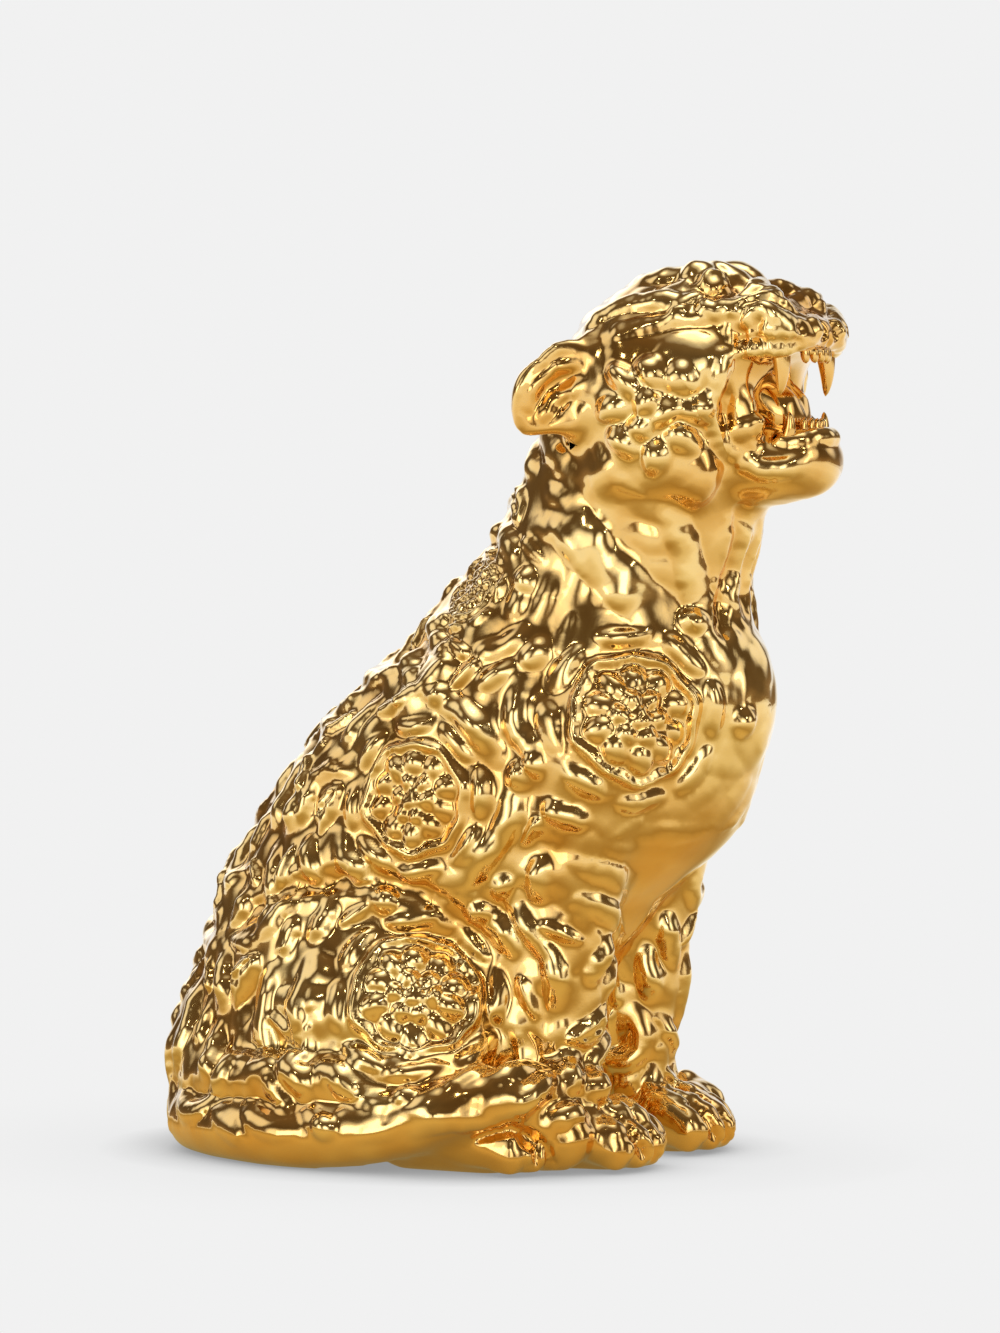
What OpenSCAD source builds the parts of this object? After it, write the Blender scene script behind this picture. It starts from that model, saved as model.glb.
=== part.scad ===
// Seated, roaring big cat in gilded porcelain.
// Slip castings, built up with slip: a hollow body with its foot plate, two forelegs, two hind paws,
// a tail, a head with a separate lower jaw, ears, tongue and teeth, and relief sprigs pressed onto
// the skin.
// The cat faces +X, its left side is +Y and it stands on Z = 0.

/* [Body] */
// Height at which the middle of the neck rim sits
neck_h = 268; // [240:1:300]
// Length from the rump to the chest
torso_l = 240; // [215:1:265]
// Greatest width across the ribs
torso_w = 130; // [115:1:145]
// Forward lean of the neck rim, in degrees
neck_tilt = 26; // [22:1:32]
// Thickness of the cast wall
wall = 6; // [4:0.5:9]

/* [Haunches] */
// Length of a thigh, from hip to knee
haunch_l = 104; // [94:1:112]
// Height of a thigh
haunch_h = 98; // [88:1:106]
// How far a thigh stands out from the middle of the body
haunch_out = 78; // [74:1:84]

/* [Forelegs] */
// Distance between the middles of the forelegs
leg_spacing = 64; // [58:1:72]
// Diameter of the foreleg above the paw
leg_d = 33; // [28:1:38]
// Length of a forepaw, from heel to toe tips
paw_l = 62; // [54:1:70]
// Width of a forepaw
paw_w = 44; // [38:1:48]
// Height of a forepaw at its knuckles
paw_h = 26; // [22:1:30]

/* [Hind paws] */
// Length of a hind paw, from heel to toe tips
hind_l = 84; // [74:1:92]
// Width of a hind paw
hind_w = 34; // [28:1:38]
// Height of a hind paw
hind_h = 24; // [20:1:28]

/* [Tail] */
// Diameter of the tail at its root
tail_d = 26; // [22:1:30]
// Diameter of the tail at its tip
tail_tip_d = 15; // [12:1:18]

/* [Head] */
// Length of the head, from the nape to the tip of the nose
head_l = 109; // [100:1:118]
// Width of the head across the cheeks
head_w = 96; // [88:1:104]
// Height of the head, from the cheeks to the crown
head_h = 90; // [82:1:98]
// Gap between the lips at the front of the open mouth
gape = 27; // [22:1:31]
// Width of the lower jaw
jaw_w = 46; // [40:1:52]
// Depth of the lower jaw at the chin
jaw_h = 29; // [25:1:33]

/* [Ears] */
// Length of an ear, from its root to its tip
ear_l = 30; // [25:1:36]
// Height of an ear at its root
ear_h = 43; // [38:1:48]
// Thickness of an ear
ear_t = 13; // [10:1:16]

/* [Teeth] */
// Length of an upper canine below the lip
canine_l = 16; // [12:1:20]
// Diameter of an upper canine at its root
canine_d = 8; // [6:0.5:10]
// Distance between the upper canines
canine_spacing = 42; // [38:1:46]
// Length of a lower canine above the lip
lower_canine_l = 6; // [4:1:8]
// Number of incisors in a row
incisor_count = 6; // [4:2:8]
// Length of an incisor
incisor_l = 4; // [3:0.5:6]

/* [Relief sprigs] */
// Diameter of the shoulder roundel
shoulder_roundel_d = 66; // [56:1:72]
// Diameter of the flank roundel
flank_roundel_d = 60; // [50:1:66]
// Diameter of the haunch roundel
haunch_roundel_d = 56; // [48:1:62]
// Diameter of the nape roundel
nape_roundel_d = 36; // [30:1:42]
// Height of the relief above the skin
relief_h = 2.4; // [1.5:0.1:3.5]
// Number of petals in a roundel
petal_count = 10; // [8:1:14]

/* [Scrolls of the coat] */
// Radius of a scroll's bend
scroll_r = 16; // [14:0.5:18]
// Width of a scroll's ridge
scroll_w = 12; // [10:0.5:14]
// Height of a scroll's crest above the skin
scroll_h = 4; // [3:0.1:5]

/* [Foot plate] */
// Thickness of the foot plate
plate_t = 6; // [4:0.5:9]
// Diameter of the vent hole that lets the kiln air out
vent_d = 10; // [6:0.5:14]

/* [Hidden] */
gold = "goldenrod";
bisque = "ivory";
right = -1;
left = 1;

// Larger than the whole figure
far = 2 * neck_h;

// Middle of the neck rim, where the head is stuck on
rim = [0.362 * torso_l, 0, neck_h];

// Torso stations from the table up: height, rump, chest, half width, narrowing to the front.
// Heights are hundredths of neck_h, lengths hundredths of torso_l, widths hundredths of torso_w.
torso_stations = [
  [0, -40, 18, 38, 20],
  [1.5, -43, 20, 43, 20],
  [5, -46.8, 21, 47.5, 20],
  [15, -48.4, 22, 52, 20],
  [26, -43.4, 26, 50, 16],
  [37, -38.8, 36, 48.5, 10],
  [43, -36, 44.3, 47.7, 8],
  [48, -32.3, 49.8, 47.7, 8],
  [54, -27.3, 51.8, 47, 8],
  [59, -23, 52.3, 46, 8],
  [65, -16.3, 53.2, 44.5, 6],
  [73, -5.2, 52.8, 40, 4],
  [79, 0.6, 50.2, 36.5, 2],
  [84, 5.4, 50.8, 34.5, 0],
  [90, 10.2, 53, 33, 0],
  [97, 14.4, 54, 31.5, 0],
  [105, 18, 51, 31, 0],
  [113, 22, 47, 28, 0]
];

// One row of numbers on a smooth curve through rows, at t from 0 to the last row's index
function row_at(rows, t) =
  let (
    last = len(rows) - 1,
    i = min(floor(t), last - 1),
    f = t - i,
    before = rows[max(i - 1, 0)],
    here = rows[i],
    next = rows[i + 1],
    after = rows[min(i + 2, last)]
  )
  here + 0.5 * f * (next - before + f * (2 * before - 5 * here + 4 * next - after
    + f * (3 * (here - next) + after - before)));

// Rows resampled evenly along that curve
function resample(rows, steps) = [for (i = [0:steps]) row_at(rows, i * (len(rows) - 1) / steps)];

function unit(v) = v / norm(v);

// Closed solid through rings of equal count, each turning the same way about the path
module loft(rings) {
  sides = len(rings[0]);
  last = len(rings) - 1;
  skin_faces = [
    for (i = [0:last - 1], j = [0:sides - 1])
      let (k = (j + 1) % sides, a = i * sides, b = a + sides)
        each [[a + j, b + j, b + k], [a + j, b + k, a + k]]
  ];
  first_cap = [for (j = [0:sides - 1]) j];
  last_cap = [for (j = [sides - 1:-1:0]) last * sides + j];
  polyhedron([for (r = rings) each r], concat([first_cap], skin_faces, [last_cap]));
}

// Level ring: centre, half length, half width, and how much narrower it is towards +X
function level_ring(c, rx, ry, egg, sides) =
  [for (j = [0:sides - 1]) let (t = 360 * j / sides)
    c + [rx * cos(t), ry * sin(t) * (1 - egg * cos(t)), 0]];

// Upright ring across X, from its lowest to its highest point
function cross_ring(x, top, bottom, half_w, sides) =
  [for (j = [0:sides - 1]) let (t = 360 * j / sides)
    [x, half_w * cos(t), (top + bottom) / 2 + (top - bottom) / 2 * sin(t)]];

// Limb of level rings: rows of x, y, z, half length and half width, listed from the ground up
module stack(rows, steps, grow = 0) {
  loft([for (r = resample(rows, steps))
    level_ring([r[0], r[1], r[2]], r[3] + grow, r[4] + grow, 0, 12)]);
}

// Tube along rows of x, y, z, half thickness and half height, kept upright
module sweep(rows, steps, sides) {
  path = resample(rows, steps);
  spot = [for (r = path) [r[0], r[1], r[2]]];
  loft([for (i = [0:steps])
    let (
      along = unit(spot[min(i + 1, steps)] - spot[max(i - 1, 0)]),
      across = unit(cross([0, 0, 1], along)),
      upward = cross(along, across)
    )
      [for (j = [0:sides - 1]) let (t = 360 * j / sides)
        spot[i] + path[i][3] * cos(t) * across + path[i][4] * sin(t) * upward]]);
}

// Muscle between two rounded ends, each with a centre and three half sizes
module muscle(a, half_a, b, half_b, grow = 0, fn = 16) {
  hull() {
    translate(a) scale(half_a + grow * [1, 1, 1]) sphere(1, $fn = fn);
    translate(b) scale(half_b + grow * [1, 1, 1]) sphere(1, $fn = fn);
  }
}

// Keeps what stands above the table
module above_table() {
  intersection() {
    children();
    translate([-far, -far, 0]) cube(2 * far);
  }
}

// Skin of the trunk and neck, running on past the neck rim
module torso_loft(grow, sides, steps) {
  loft([for (s = resample(torso_stations, steps))
    let (rump = s[1] * torso_l / 100, chest = s[2] * torso_l / 100)
      level_ring([(rump + chest) / 2, 0, s[0] * neck_h / 100], (chest - rump) / 2 + grow,
        s[3] * torso_w / 100 + grow, s[4] / 100, sides)]);
}

// Trunk and neck, cut at the neck rim
module torso_form(grow = 0) {
  intersection() {
    torso_loft(grow, 24, 17);
    translate(rim) rotate([0, neck_tilt, 0]) translate([-far, -far, -2 * far]) cube(2 * far);
  }
}

// Same point on the right or the left side
function sided(p, side) = [p[0], side * p[1], p[2]];

// Thigh, hip and knee of one side
hip = [-0.06 * torso_l, 0.36 * torso_w, 0.47 * haunch_h];
module haunch_form(side, grow = 0, fn = 12) {
  out = haunch_out - hip[1];
  thigh = [haunch_l * 0.34, out, haunch_h / 2];
  knee = [hip[0] + haunch_l * 0.42, hip[1] + out * 0.1, haunch_h * 0.45];
  knee_half = [haunch_l * 0.16, out * 0.75, haunch_h * 0.36];
  above_table() {
    muscle(sided(hip, side), thigh, sided(hip + [haunch_l * 0.16, 0, 0], side), thigh, grow, fn);
    muscle(sided(hip, side), thigh * 0.7, sided(knee, side), knee_half, grow, fn - 2);
  }
}

// Paw lying along +X from its heel, with four rounded toes
toe_count = 4;
module paw_form(heel, length, width, height) {
  toe_r = width / toe_count * 0.58;
  pad_half = [length * 0.3, width * 0.46, height * 0.5];
  muscle(heel + [length * 0.3, 0, height * 0.42], pad_half * 0.92,
    heel + [length * 0.62, 0, height * 0.46], pad_half, 0, 8);
  for (i = [0:toe_count - 1]) {
    out = (2 * i - toe_count + 1) / (toe_count - 1);
    y = out * (width / 2 - toe_r);
    tip_x = length - toe_r - abs(out) * length * 0.09;
    muscle(heel + [length * 0.55, y * 0.9, height * 0.6], [toe_r, toe_r, height * 0.4],
      heel + [tip_x, y, height * 0.34], [toe_r, toe_r, height * 0.36], 0, 6);
  }
}

// Foreleg of one side: shoulder, forearm, elbow and paw
leg_r = leg_d / 2;
foot = [0.248 * torso_l, leg_spacing / 2, 0];
shoulder = [0.335 * torso_l, 0.318 * torso_w, 0.61 * neck_h];
module foreleg_form(side, grow = 0) {
  rows = [
    each [for (f = [0, 0.2, 0.4, 0.6, 0.8, 1])
      let (swell = pow(f, 2.5))
        [foot[0] + (shoulder[0] - foot[0]) * swell, foot[1] + (shoulder[1] - foot[1]) * swell,
          shoulder[2] * f, leg_r + torso_l * 0.062 * swell, leg_r + torso_w * 0.035 * swell]],
    [shoulder[0] - 0.015 * torso_l, 0.27 * torso_w, 0.7 * neck_h, leg_r + torso_l * 0.04, leg_r * 1.06],
    [shoulder[0] - 0.03 * torso_l, 0.2 * torso_w, 0.78 * neck_h, leg_r, leg_r * 0.7]
  ];
  above_table() {
    stack([for (r = rows) [r[0], side * r[1], r[2], r[3], r[4]]], 10, grow);
    muscle(sided(foot + [-leg_r * 0.8, leg_r * 0.35, 0.62 * shoulder[2]], side), leg_r * [0.6, 0.72, 0.9],
      sided(foot + [0, leg_r * 0.11, 0.42 * shoulder[2]], side), leg_r * [0.66, 0.72, 0.78], grow, 8);
    paw_form([foot[0] - leg_r, side * foot[1], 0], paw_l, paw_w, paw_h);
  }
}

// Hind paw of one side, under the thigh
hind_heel_x = -0.035 * torso_l;
hind_y = haunch_out - hind_w * 0.42;
module hind_paw_form(side) {
  above_table() paw_form([hind_heel_x, side * hind_y, 0], hind_l, hind_w, hind_h);
}

// Depth that the soft clay of the tail is flattened by where it lies on the table
tail_sink = 1;

// Tail from the rump, round the right side on the table, over the hind paw to the forepaw
module tail_form() {
  root_r = tail_d / 2;
  tip_r = tail_tip_d / 2;
  side_y = haunch_out + root_r * 0.35;
  rows = [
    [-0.35 * torso_l, 0.22 * torso_w, root_r * 1.3, root_r],
    [-0.41 * torso_l, 0.03 * torso_w, root_r, root_r],
    [-0.405 * torso_l, -0.2 * torso_w, root_r, root_r],
    [-0.34 * torso_l, -0.43 * torso_w, root_r, root_r],
    [-0.22 * torso_l, -side_y * 0.9, root_r, root_r],
    [-0.1 * torso_l, -side_y, root_r, root_r],
    [hind_heel_x + hind_l * 0.22, -side_y, root_r + hind_h * 0.15, root_r],
    [hind_heel_x + hind_l * 0.55, -side_y * 0.98, root_r + hind_h * 0.5, root_r * 0.95],
    [hind_heel_x + hind_l * 0.82, -side_y * 0.88, root_r + hind_h * 0.75, root_r * 0.85],
    [foot[0] + leg_d * 0.3, -foot[1] - leg_d * 0.62, paw_h + tip_r * 0.9, tip_r * 1.15],
    [foot[0] + leg_d * 0.72, -foot[1] - leg_d * 0.2, paw_h + tip_r * 0.7, tip_r * 0.8]
  ];
  above_table() sweep([for (r = rows) [r[0], r[1], r[2] - tail_sink, r[3], r[3]]], 20, 8);
}

// Head stations from the nape to the nose: place along head_l, top and bottom in hundredths
// of head_h above the cheeks, and half width in hundredths of head_w
head_stations = [
  [3, 72, 32, 24],
  [9, 83, 17, 35],
  [18, 92, 5, 45],
  [30, 98.5, 0, 50],
  [43, 99.5, 0, 50],
  [53, 100, 2, 47.5],
  [61, 99.5, 8, 43],
  [69, 98.5, 20, 38.5],
  [75, 97, 42, 34.5],
  [81, 95, 59, 31.5],
  [88, 88.5, 65, 28],
  [95, 78, 66, 22],
  [98, 74, 68, 13]
];
head_x = rim[0] - 0.31 * head_l;
head_z = neck_h - 0.22 * head_h;
// A place on the head and a half size on it, in hundredths of its length, width and height
function on_head(l, w, h) = [head_x, 0, head_z] + head_size(l, w, h);
function head_size(l, w, h) = [l * head_l, w * head_w, h * head_h] / 100;
lip_z = on_head(0, 0, 66)[2];
module head_form() {
  loft([for (s = resample(head_stations, 15))
    cross_ring(head_x + s[0] * head_l / 100, head_z + s[1] * head_h / 100,
      head_z + s[2] * head_h / 100, s[3] * head_w / 100, 16)]);
  for (side = [right, left]) {
    // brow
    muscle(on_head(54, side * 12, 93), head_size(9, 9, 7),
      on_head(68, side * 27, 85), head_size(8, 7, 8), 0, 8);
    // eye
    muscle(on_head(70, side * 27, 79), head_size(6, 5, 5),
      on_head(74, side * 25, 77), head_size(5, 5, 4), 0, 8);
    // cheekbone
    muscle(on_head(40, side * 43, 52), head_size(11, 8, 13),
      on_head(62, side * 37, 60), head_size(9, 7, 10), 0, 8);
    // cheek ruff
    muscle(on_head(34, side * 38, 18), head_size(16, 12, 18),
      on_head(52, side * 36, 24), head_size(13, 10, 20), 0, 8);
    // whisker pad
    muscle(on_head(80, side * 21, 75), head_size(9, 10, 9),
      on_head(91, side * 15, 73), head_size(7, 9, 7), 0, 8);
  }
  // nose
  muscle(on_head(90, 0, 84), head_size(5, 8, 6), on_head(96, 0, 74), head_size(4, 9, 7), 0, 8);
  // throat, over the front of the neck rim
  muscle(on_head(38, 0, 8), head_size(20, 36, 18), on_head(55, 0, 4), head_size(15, 35, 12), 0, 10);
  // nape, over the back of the neck rim
  muscle(on_head(16, 0, 50), head_size(18, 35, 33), on_head(30, 0, 40), head_size(27, 42, 38), 0, 10);
}

// Open space of the mouth, from the throat to the lips
module mouth_form() {
  muscle(on_head(62, 0, 38), head_size(11, 19, 13), [on_head(96, 0, 0)[0], 0, lip_z - gape / 2],
    [head_l * 0.18, jaw_w * 0.36, gape / 2 + 1], 0, 10);
}

// Hollow of the head, open to the neck
module head_hollow() {
  muscle(rim - head_size(4, 0, 7), head_size(16, 25, 20), on_head(34, 0, 74), head_size(19, 29, 15), 0, 8);
}

// Lower jaw stations: place along head_l, top and bottom in hundredths of jaw_h, half width of jaw_w
jaw_stations = [
  [38, 108, -10, 60],
  [50, 100, -12, 64],
  [61, 92, -12, 60],
  [72, 90, -8, 54],
  [82, 97, -2, 50],
  [90, 100, 6, 43],
  [95.5, 94, 18, 32],
  [98.5, 74, 38, 17]
];
jaw_z = lip_z - gape - jaw_h;
module jaw_form() {
  loft([for (s = resample(jaw_stations, 11))
    cross_ring(head_x + s[0] * head_l / 100, jaw_z + s[1] * jaw_h / 100, jaw_z + s[2] * jaw_h / 100,
      s[3] * jaw_w / 100, 12)]);
}

module tongue_form() {
  muscle([on_head(58, 0, 0)[0], 0, jaw_z + jaw_h * 0.9], [head_l * 0.12, jaw_w * 0.27, jaw_h * 0.3],
    [on_head(80, 0, 0)[0], 0, jaw_z + jaw_h * 0.95], [head_l * 0.1, jaw_w * 0.24, jaw_h * 0.24], 0, 8);
}

// Ear of one side, laid back, with its cup
module ear_form(side) {
  root = on_head(27, 40, 53);
  half_h = ear_h / 2;
  half_t = ear_t / 2;
  // rows of how far back, out and down from the root, thickness and height
  rows = [
    [-0.35, -0.12, 0.02, 0.8, 0.85],
    [0, 0, 0, 1, 1],
    [0.35, 0.12, 0.1, 1, 0.95],
    [0.65, 0.22, 0.24, 0.85, 0.75],
    [0.88, 0.28, 0.38, 0.62, 0.45],
    [1, 0.3, 0.46, 0.35, 0.15]
  ];
  function spot(r) = sided(root + ear_l * [-r[0], r[1], -r[2]], side);
  function cup(r) = spot(r) + [0, side * ear_t * 0.85, 0];
  difference() {
    sweep([for (r = rows) concat(spot(r), half_t * r[3], half_h * r[4])], 7, 10);
    muscle(cup(rows[2]), [ear_l * 0.22, ear_t * 0.7, half_h * 0.66],
      cup(rows[3]), [ear_l * 0.2, ear_t * 0.7, half_h * 0.5], 0, 8);
  }
}

// Tooth with its root sunk in the gum: rows of place along it and thickness
fang = [[0, 1], [0.4, 0.8], [0.75, 0.46], [1, 0.12]];
chisel = [[1, 0.8]];
tooth_root = 5;
module tooth_form(root, point, root_d, rows) {
  along = unit(point - root);
  turn = sign(along[2]);
  function ring(c, d) = [for (j = [0:5]) c + d / 2 * [cos(60 * j), turn * sin(60 * j), 0]];
  loft(concat([ring(root - along * tooth_root, root_d)],
    [for (r = rows) ring(root + (point - root) * r[0], root_d * r[1])]));
}

module upper_canine_form(side) {
  root = [on_head(86, 0, 0)[0], side * canine_spacing / 2, lip_z];
  tooth_form(root, root + [canine_d * 0.1, 0, -canine_l], canine_d, fang);
}

module lower_canine_form(side) {
  root = [on_head(87, 0, 0)[0], side * jaw_w * 0.33, lip_z - gape - 1];
  point = root + [canine_d * 0.1, side * canine_d * 0.1, lower_canine_l];
  tooth_form(root, point, canine_d * 0.75, fang);
}

// Row of incisors on an arc between the canines
module incisor_form(x, z, span, reach) {
  pitch = span / incisor_count;
  bulge = span * 0.13;
  for (i = [0:incisor_count - 1]) {
    y = (2 * i - incisor_count + 1) / 2 * pitch;
    root = [x - bulge * pow(2 * y / span, 2), y, z];
    tooth_form(root, root + [0, 0, reach], pitch * 1.4, chisel);
  }
}

// Ridge rooted in the skin, with a flat crest: rows of a place on the skin and the way out from it
module ridge(rows, width, height) {
  last = len(rows) - 1;
  root = height;
  loft([for (i = [0:last])
    let (
      along = unit(rows[min(i + 1, last)][0] - rows[max(i - 1, 0)][0]),
      out = rows[i][1],
      taper = i == 0 || i == last ? 0.4 : 1,
      across = cross(along, out) * width / 2 * taper,
      crest = rows[i][0] + out * height * taper,
      foot = rows[i][0] - out * root
    )
      [crest - across * 0.35, crest + across * 0.35, foot + across * 1.3, foot - across * 1.3]]);
}

// Skin of the trunk, at a turn from +X and a height in hundredths of neck_h
station_heights = [for (i = [0:len(torso_stations) - 1]) [torso_stations[i][0], i]];
function trunk_at(turn, height) =
  let (
    s = row_at(torso_stations, lookup(height, station_heights)),
    rump = s[1] * torso_l / 100,
    chest = s[2] * torso_l / 100
  )
    [(rump + chest) / 2 + (chest - rump) / 2 * cos(turn),
      s[3] * torso_w / 100 * sin(turn) * (1 - s[4] / 100 * cos(turn)), s[0] * neck_h / 100];

// Scroll on the trunk: a bend about a place, from one angle through a sweep
scroll_steps = 4;
scroll_sweep = 190;
module trunk_scroll(turn, height, start) {
  here = trunk_at(turn, height);
  around = trunk_at(turn + 1, height) - here;
  upward = trunk_at(turn, height + 1) - here;
  function on_trunk(u, v) =
    let (
      t = turn + u / norm(around),
      h = height + v / norm(upward),
      p = trunk_at(t, h)
    )
      [p, unit(cross(trunk_at(t + 1, h) - p, trunk_at(t, h + 1) - p))];
  ridge([for (i = [0:scroll_steps])
    let (a = start + scroll_sweep * i / scroll_steps)
      on_trunk(scroll_r * cos(a), scroll_r * sin(a))], scroll_w, scroll_h);
}

// Scrolls of the coat, clear of the roundels: rows of turn, height and the angle that the bend starts at
flank_scrolls = [
  [150, 29, 20], [150, 43, 200], [150, 57, 20], [148, 72, 200],
  [124, 36, 110], [124, 51, 290], [126, 69, 60]
];
spine_scrolls = [[180, 22, 250], [180, 36, 70], [180, 50, 250], [180, 64, 70], [180, 78, 250]];
module trunk_scrolls() {
  for (s = spine_scrolls) trunk_scroll(s[0], s[1], s[2]);
  for (s = flank_scrolls, side = [right, left])
    mirror([0, side - left, 0]) trunk_scroll(s[0], s[1], s[2]);
}

// Places of the sprigs: where the axis starts, its turn from +X, its lift and the diameter
shoulder_place = [[0.36 * torso_l, 0.2 * torso_w, 0.634 * neck_h], 60, 0, shoulder_roundel_d];
flank_place = [[0.06 * torso_l, 0.2 * torso_w, 0.5 * neck_h], 90, 8, flank_roundel_d];
haunch_place = [[0.045 * torso_l, 0.36 * torso_w, 0.6 * haunch_h], 84, 6, haunch_roundel_d];
nape_place = [[0.16 * torso_l, 0.1 * torso_w, 0.77 * neck_h], 119, 24, nape_roundel_d];
sprig_places = [shoulder_place, flank_place, haunch_place, nape_place];

// Outline carried out through the skin along the axis of a place
module sprig_column(side, place) {
  translate(sided(place[0], side)) rotate([0, 90 - place[2], side * place[1]])
    linear_extrude(far / 8) children();
}

// Relief sprig that follows the skin of one side: a disc, a flower and a boss
module roundel(side, place) {
  d = place[3];
  difference() {
    union() {
      sprig_layer(side, place, 0.45) circle(d = d, $fn = 16);
      sprig_layer(side, place, 1) petals(d * 0.8);
      sprig_layer(side, place, 1.5) circle(d = d * 0.25, $fn = 8);
    }
    skin_form(side);
  }
}

// One layer of a sprig, up to a share of the relief height
module sprig_layer(side, place, share) {
  intersection() {
    skin_form(side, relief_h * share);
    sprig_column(side, place) children();
  }
}

// Outline with one lobe for each petal, notched between them
module petals(d) {
  polygon([for (i = [0:2 * petal_count - 1]) let (t = 180 * i / petal_count)
    d / 2 * (i % 2 == 0 ? 0.74 : 1) * [cos(t), sin(t)]]);
}

// Skin that the sprigs are pressed onto
module skin_form(side, grow = 0) {
  torso_form(grow);
  haunch_form(side, grow);
  foreleg_form(side, grow);
}

// Outline of the foot plate inside the foot of the body
foot_rump = torso_stations[0][1] * torso_l / 100;
foot_chest = torso_stations[0][2] * torso_l / 100;
vent_x = (foot_rump + foot_chest) / 2;
plate_ring = level_ring([vent_x, 0, 0], (foot_chest - foot_rump) / 2 - wall,
  torso_stations[0][3] * torso_w / 100 - wall, torso_stations[0][4] / 100, 30);
plate_outline = [for (p = plate_ring) [p[0], p[1]]];

module body_shell() {
  color(gold) difference() {
    union() {
      torso_form();
      haunch_form(right);
      haunch_form(left);
      difference() {
        trunk_scrolls();
        for (side = [right, left]) {
          foreleg_form(side);
          for (place = sprig_places) sprig_column(side, place) circle(d = place[3] + 2, $fn = 16);
        }
      }
    }
    intersection() {
      union() {
        torso_loft(-wall, 12, 9);
        haunch_form(right, -wall, 8);
        haunch_form(left, -wall, 8);
      }
      translate([-far, -far, plate_t]) cube(2 * far);
    }
    translate([0, 0, -1]) linear_extrude(plate_t + 2) polygon(plate_outline);
  }
}

module foot_plate() {
  color(bisque) difference() {
    linear_extrude(plate_t) polygon(plate_outline);
    translate([vent_x, 0, -1]) cylinder(d = vent_d, h = plate_t + 2, $fn = 24);
  }
}

module foreleg(side) {
  color(gold) difference() {
    foreleg_form(side);
    torso_form();
    haunch_form(side);
  }
}

module hind_paw(side) {
  color(gold) difference() {
    hind_paw_form(side);
    torso_form();
    haunch_form(side);
    foreleg_form(side);
  }
}

module tail() {
  color(gold) difference() {
    tail_form();
    torso_form();
    haunch_form(right);
    foreleg_form(right);
    hind_paw_form(right);
  }
}

// Head without its hollow
module head_block() {
  difference() {
    head_form();
    torso_form();
    mouth_form();
  }
}

module head_shell() {
  color(gold) difference() {
    head_block();
    head_hollow();
  }
}

module lower_jaw() {
  color(gold) difference() {
    jaw_form();
    head_form();
    torso_form();
    mouth_form();
    tongue_form();
  }
}

module tongue() {
  color(gold) difference() {
    tongue_form();
    head_block();
  }
}

module ear(side) {
  color(gold) difference() {
    ear_form(side);
    head_form();
    torso_form();
  }
}

module upper_canine(side) {
  color(gold) difference() {
    upper_canine_form(side);
    head_block();
  }
}

module lower_canine(side) {
  color(gold) difference() {
    lower_canine_form(side);
    lower_jaw();
  }
}

module upper_incisors() {
  color(gold) difference() {
    incisor_form(on_head(94, 0, 0)[0], lip_z, canine_spacing * 0.55, -incisor_l);
    head_block();
  }
}

module lower_incisors() {
  color(gold) difference() {
    incisor_form(on_head(93, 0, 0)[0], lip_z - gape - 1, jaw_w * 0.42, incisor_l);
    lower_jaw();
  }
}

module shoulder_roundel(side) {
  color(gold) roundel(side, shoulder_place);
}

module flank_roundel(side) {
  color(gold) roundel(side, flank_place);
}

module haunch_roundel(side) {
  color(gold) roundel(side, haunch_place);
}

module nape_roundel(side) {
  color(gold) roundel(side, nape_place);
}

body_shell();
foot_plate();
foreleg(right);  // right_foreleg
foreleg(left);  // left_foreleg
hind_paw(right);  // right_hind_paw
hind_paw(left);  // left_hind_paw
tail();
head_shell();
lower_jaw();
tongue();
ear(right);  // right_ear
ear(left);  // left_ear
upper_canine(right);  // right_upper_canine
upper_canine(left);  // left_upper_canine
lower_canine(right);  // right_lower_canine
lower_canine(left);  // left_lower_canine
upper_incisors();
lower_incisors();
shoulder_roundel(right);  // right_shoulder_roundel
shoulder_roundel(left);  // left_shoulder_roundel
flank_roundel(right);  // right_flank_roundel
flank_roundel(left);  // left_flank_roundel
haunch_roundel(right);  // right_haunch_roundel
haunch_roundel(left);  // left_haunch_roundel
nape_roundel(right);  // right_nape_roundel
nape_roundel(left);  // left_nape_roundel
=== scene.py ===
"""Seated, roaring big cat in gold lustre on porcelain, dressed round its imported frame."""

import math

import bmesh
import bpy
import numpy as np
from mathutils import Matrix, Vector
from mathutils.bvhtree import BVHTree
from mathutils.kdtree import KDTree


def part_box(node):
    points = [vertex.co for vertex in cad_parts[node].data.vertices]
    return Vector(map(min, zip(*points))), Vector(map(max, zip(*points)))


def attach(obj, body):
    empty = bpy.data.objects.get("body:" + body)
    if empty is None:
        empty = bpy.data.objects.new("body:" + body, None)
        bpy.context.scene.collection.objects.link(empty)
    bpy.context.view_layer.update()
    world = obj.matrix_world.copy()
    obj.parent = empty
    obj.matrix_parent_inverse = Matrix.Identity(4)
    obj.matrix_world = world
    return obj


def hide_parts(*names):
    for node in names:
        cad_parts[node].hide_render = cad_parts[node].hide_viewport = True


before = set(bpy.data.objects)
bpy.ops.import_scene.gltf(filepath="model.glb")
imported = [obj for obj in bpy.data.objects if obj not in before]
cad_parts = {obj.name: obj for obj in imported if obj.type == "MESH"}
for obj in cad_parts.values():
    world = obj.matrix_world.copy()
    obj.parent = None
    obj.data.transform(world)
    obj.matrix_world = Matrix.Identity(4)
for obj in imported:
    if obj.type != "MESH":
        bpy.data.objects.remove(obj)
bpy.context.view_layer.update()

# The frame is in metres. Shapes below are worked out in millimetres.
MM = 0.001
SIDES = {"right": -1, "left": 1}

# Camera: the photograph's angle, its distance and the width that it shows there
CAMERA_TURN = math.radians(27)
CAMERA_RISE = math.radians(2.2)
CAMERA_DISTANCE = 2.3
VIEW_WIDTH = 0.3865
AIM = Vector((0.0187, 0.0015, 0.1875))
SENSOR = 36

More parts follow.
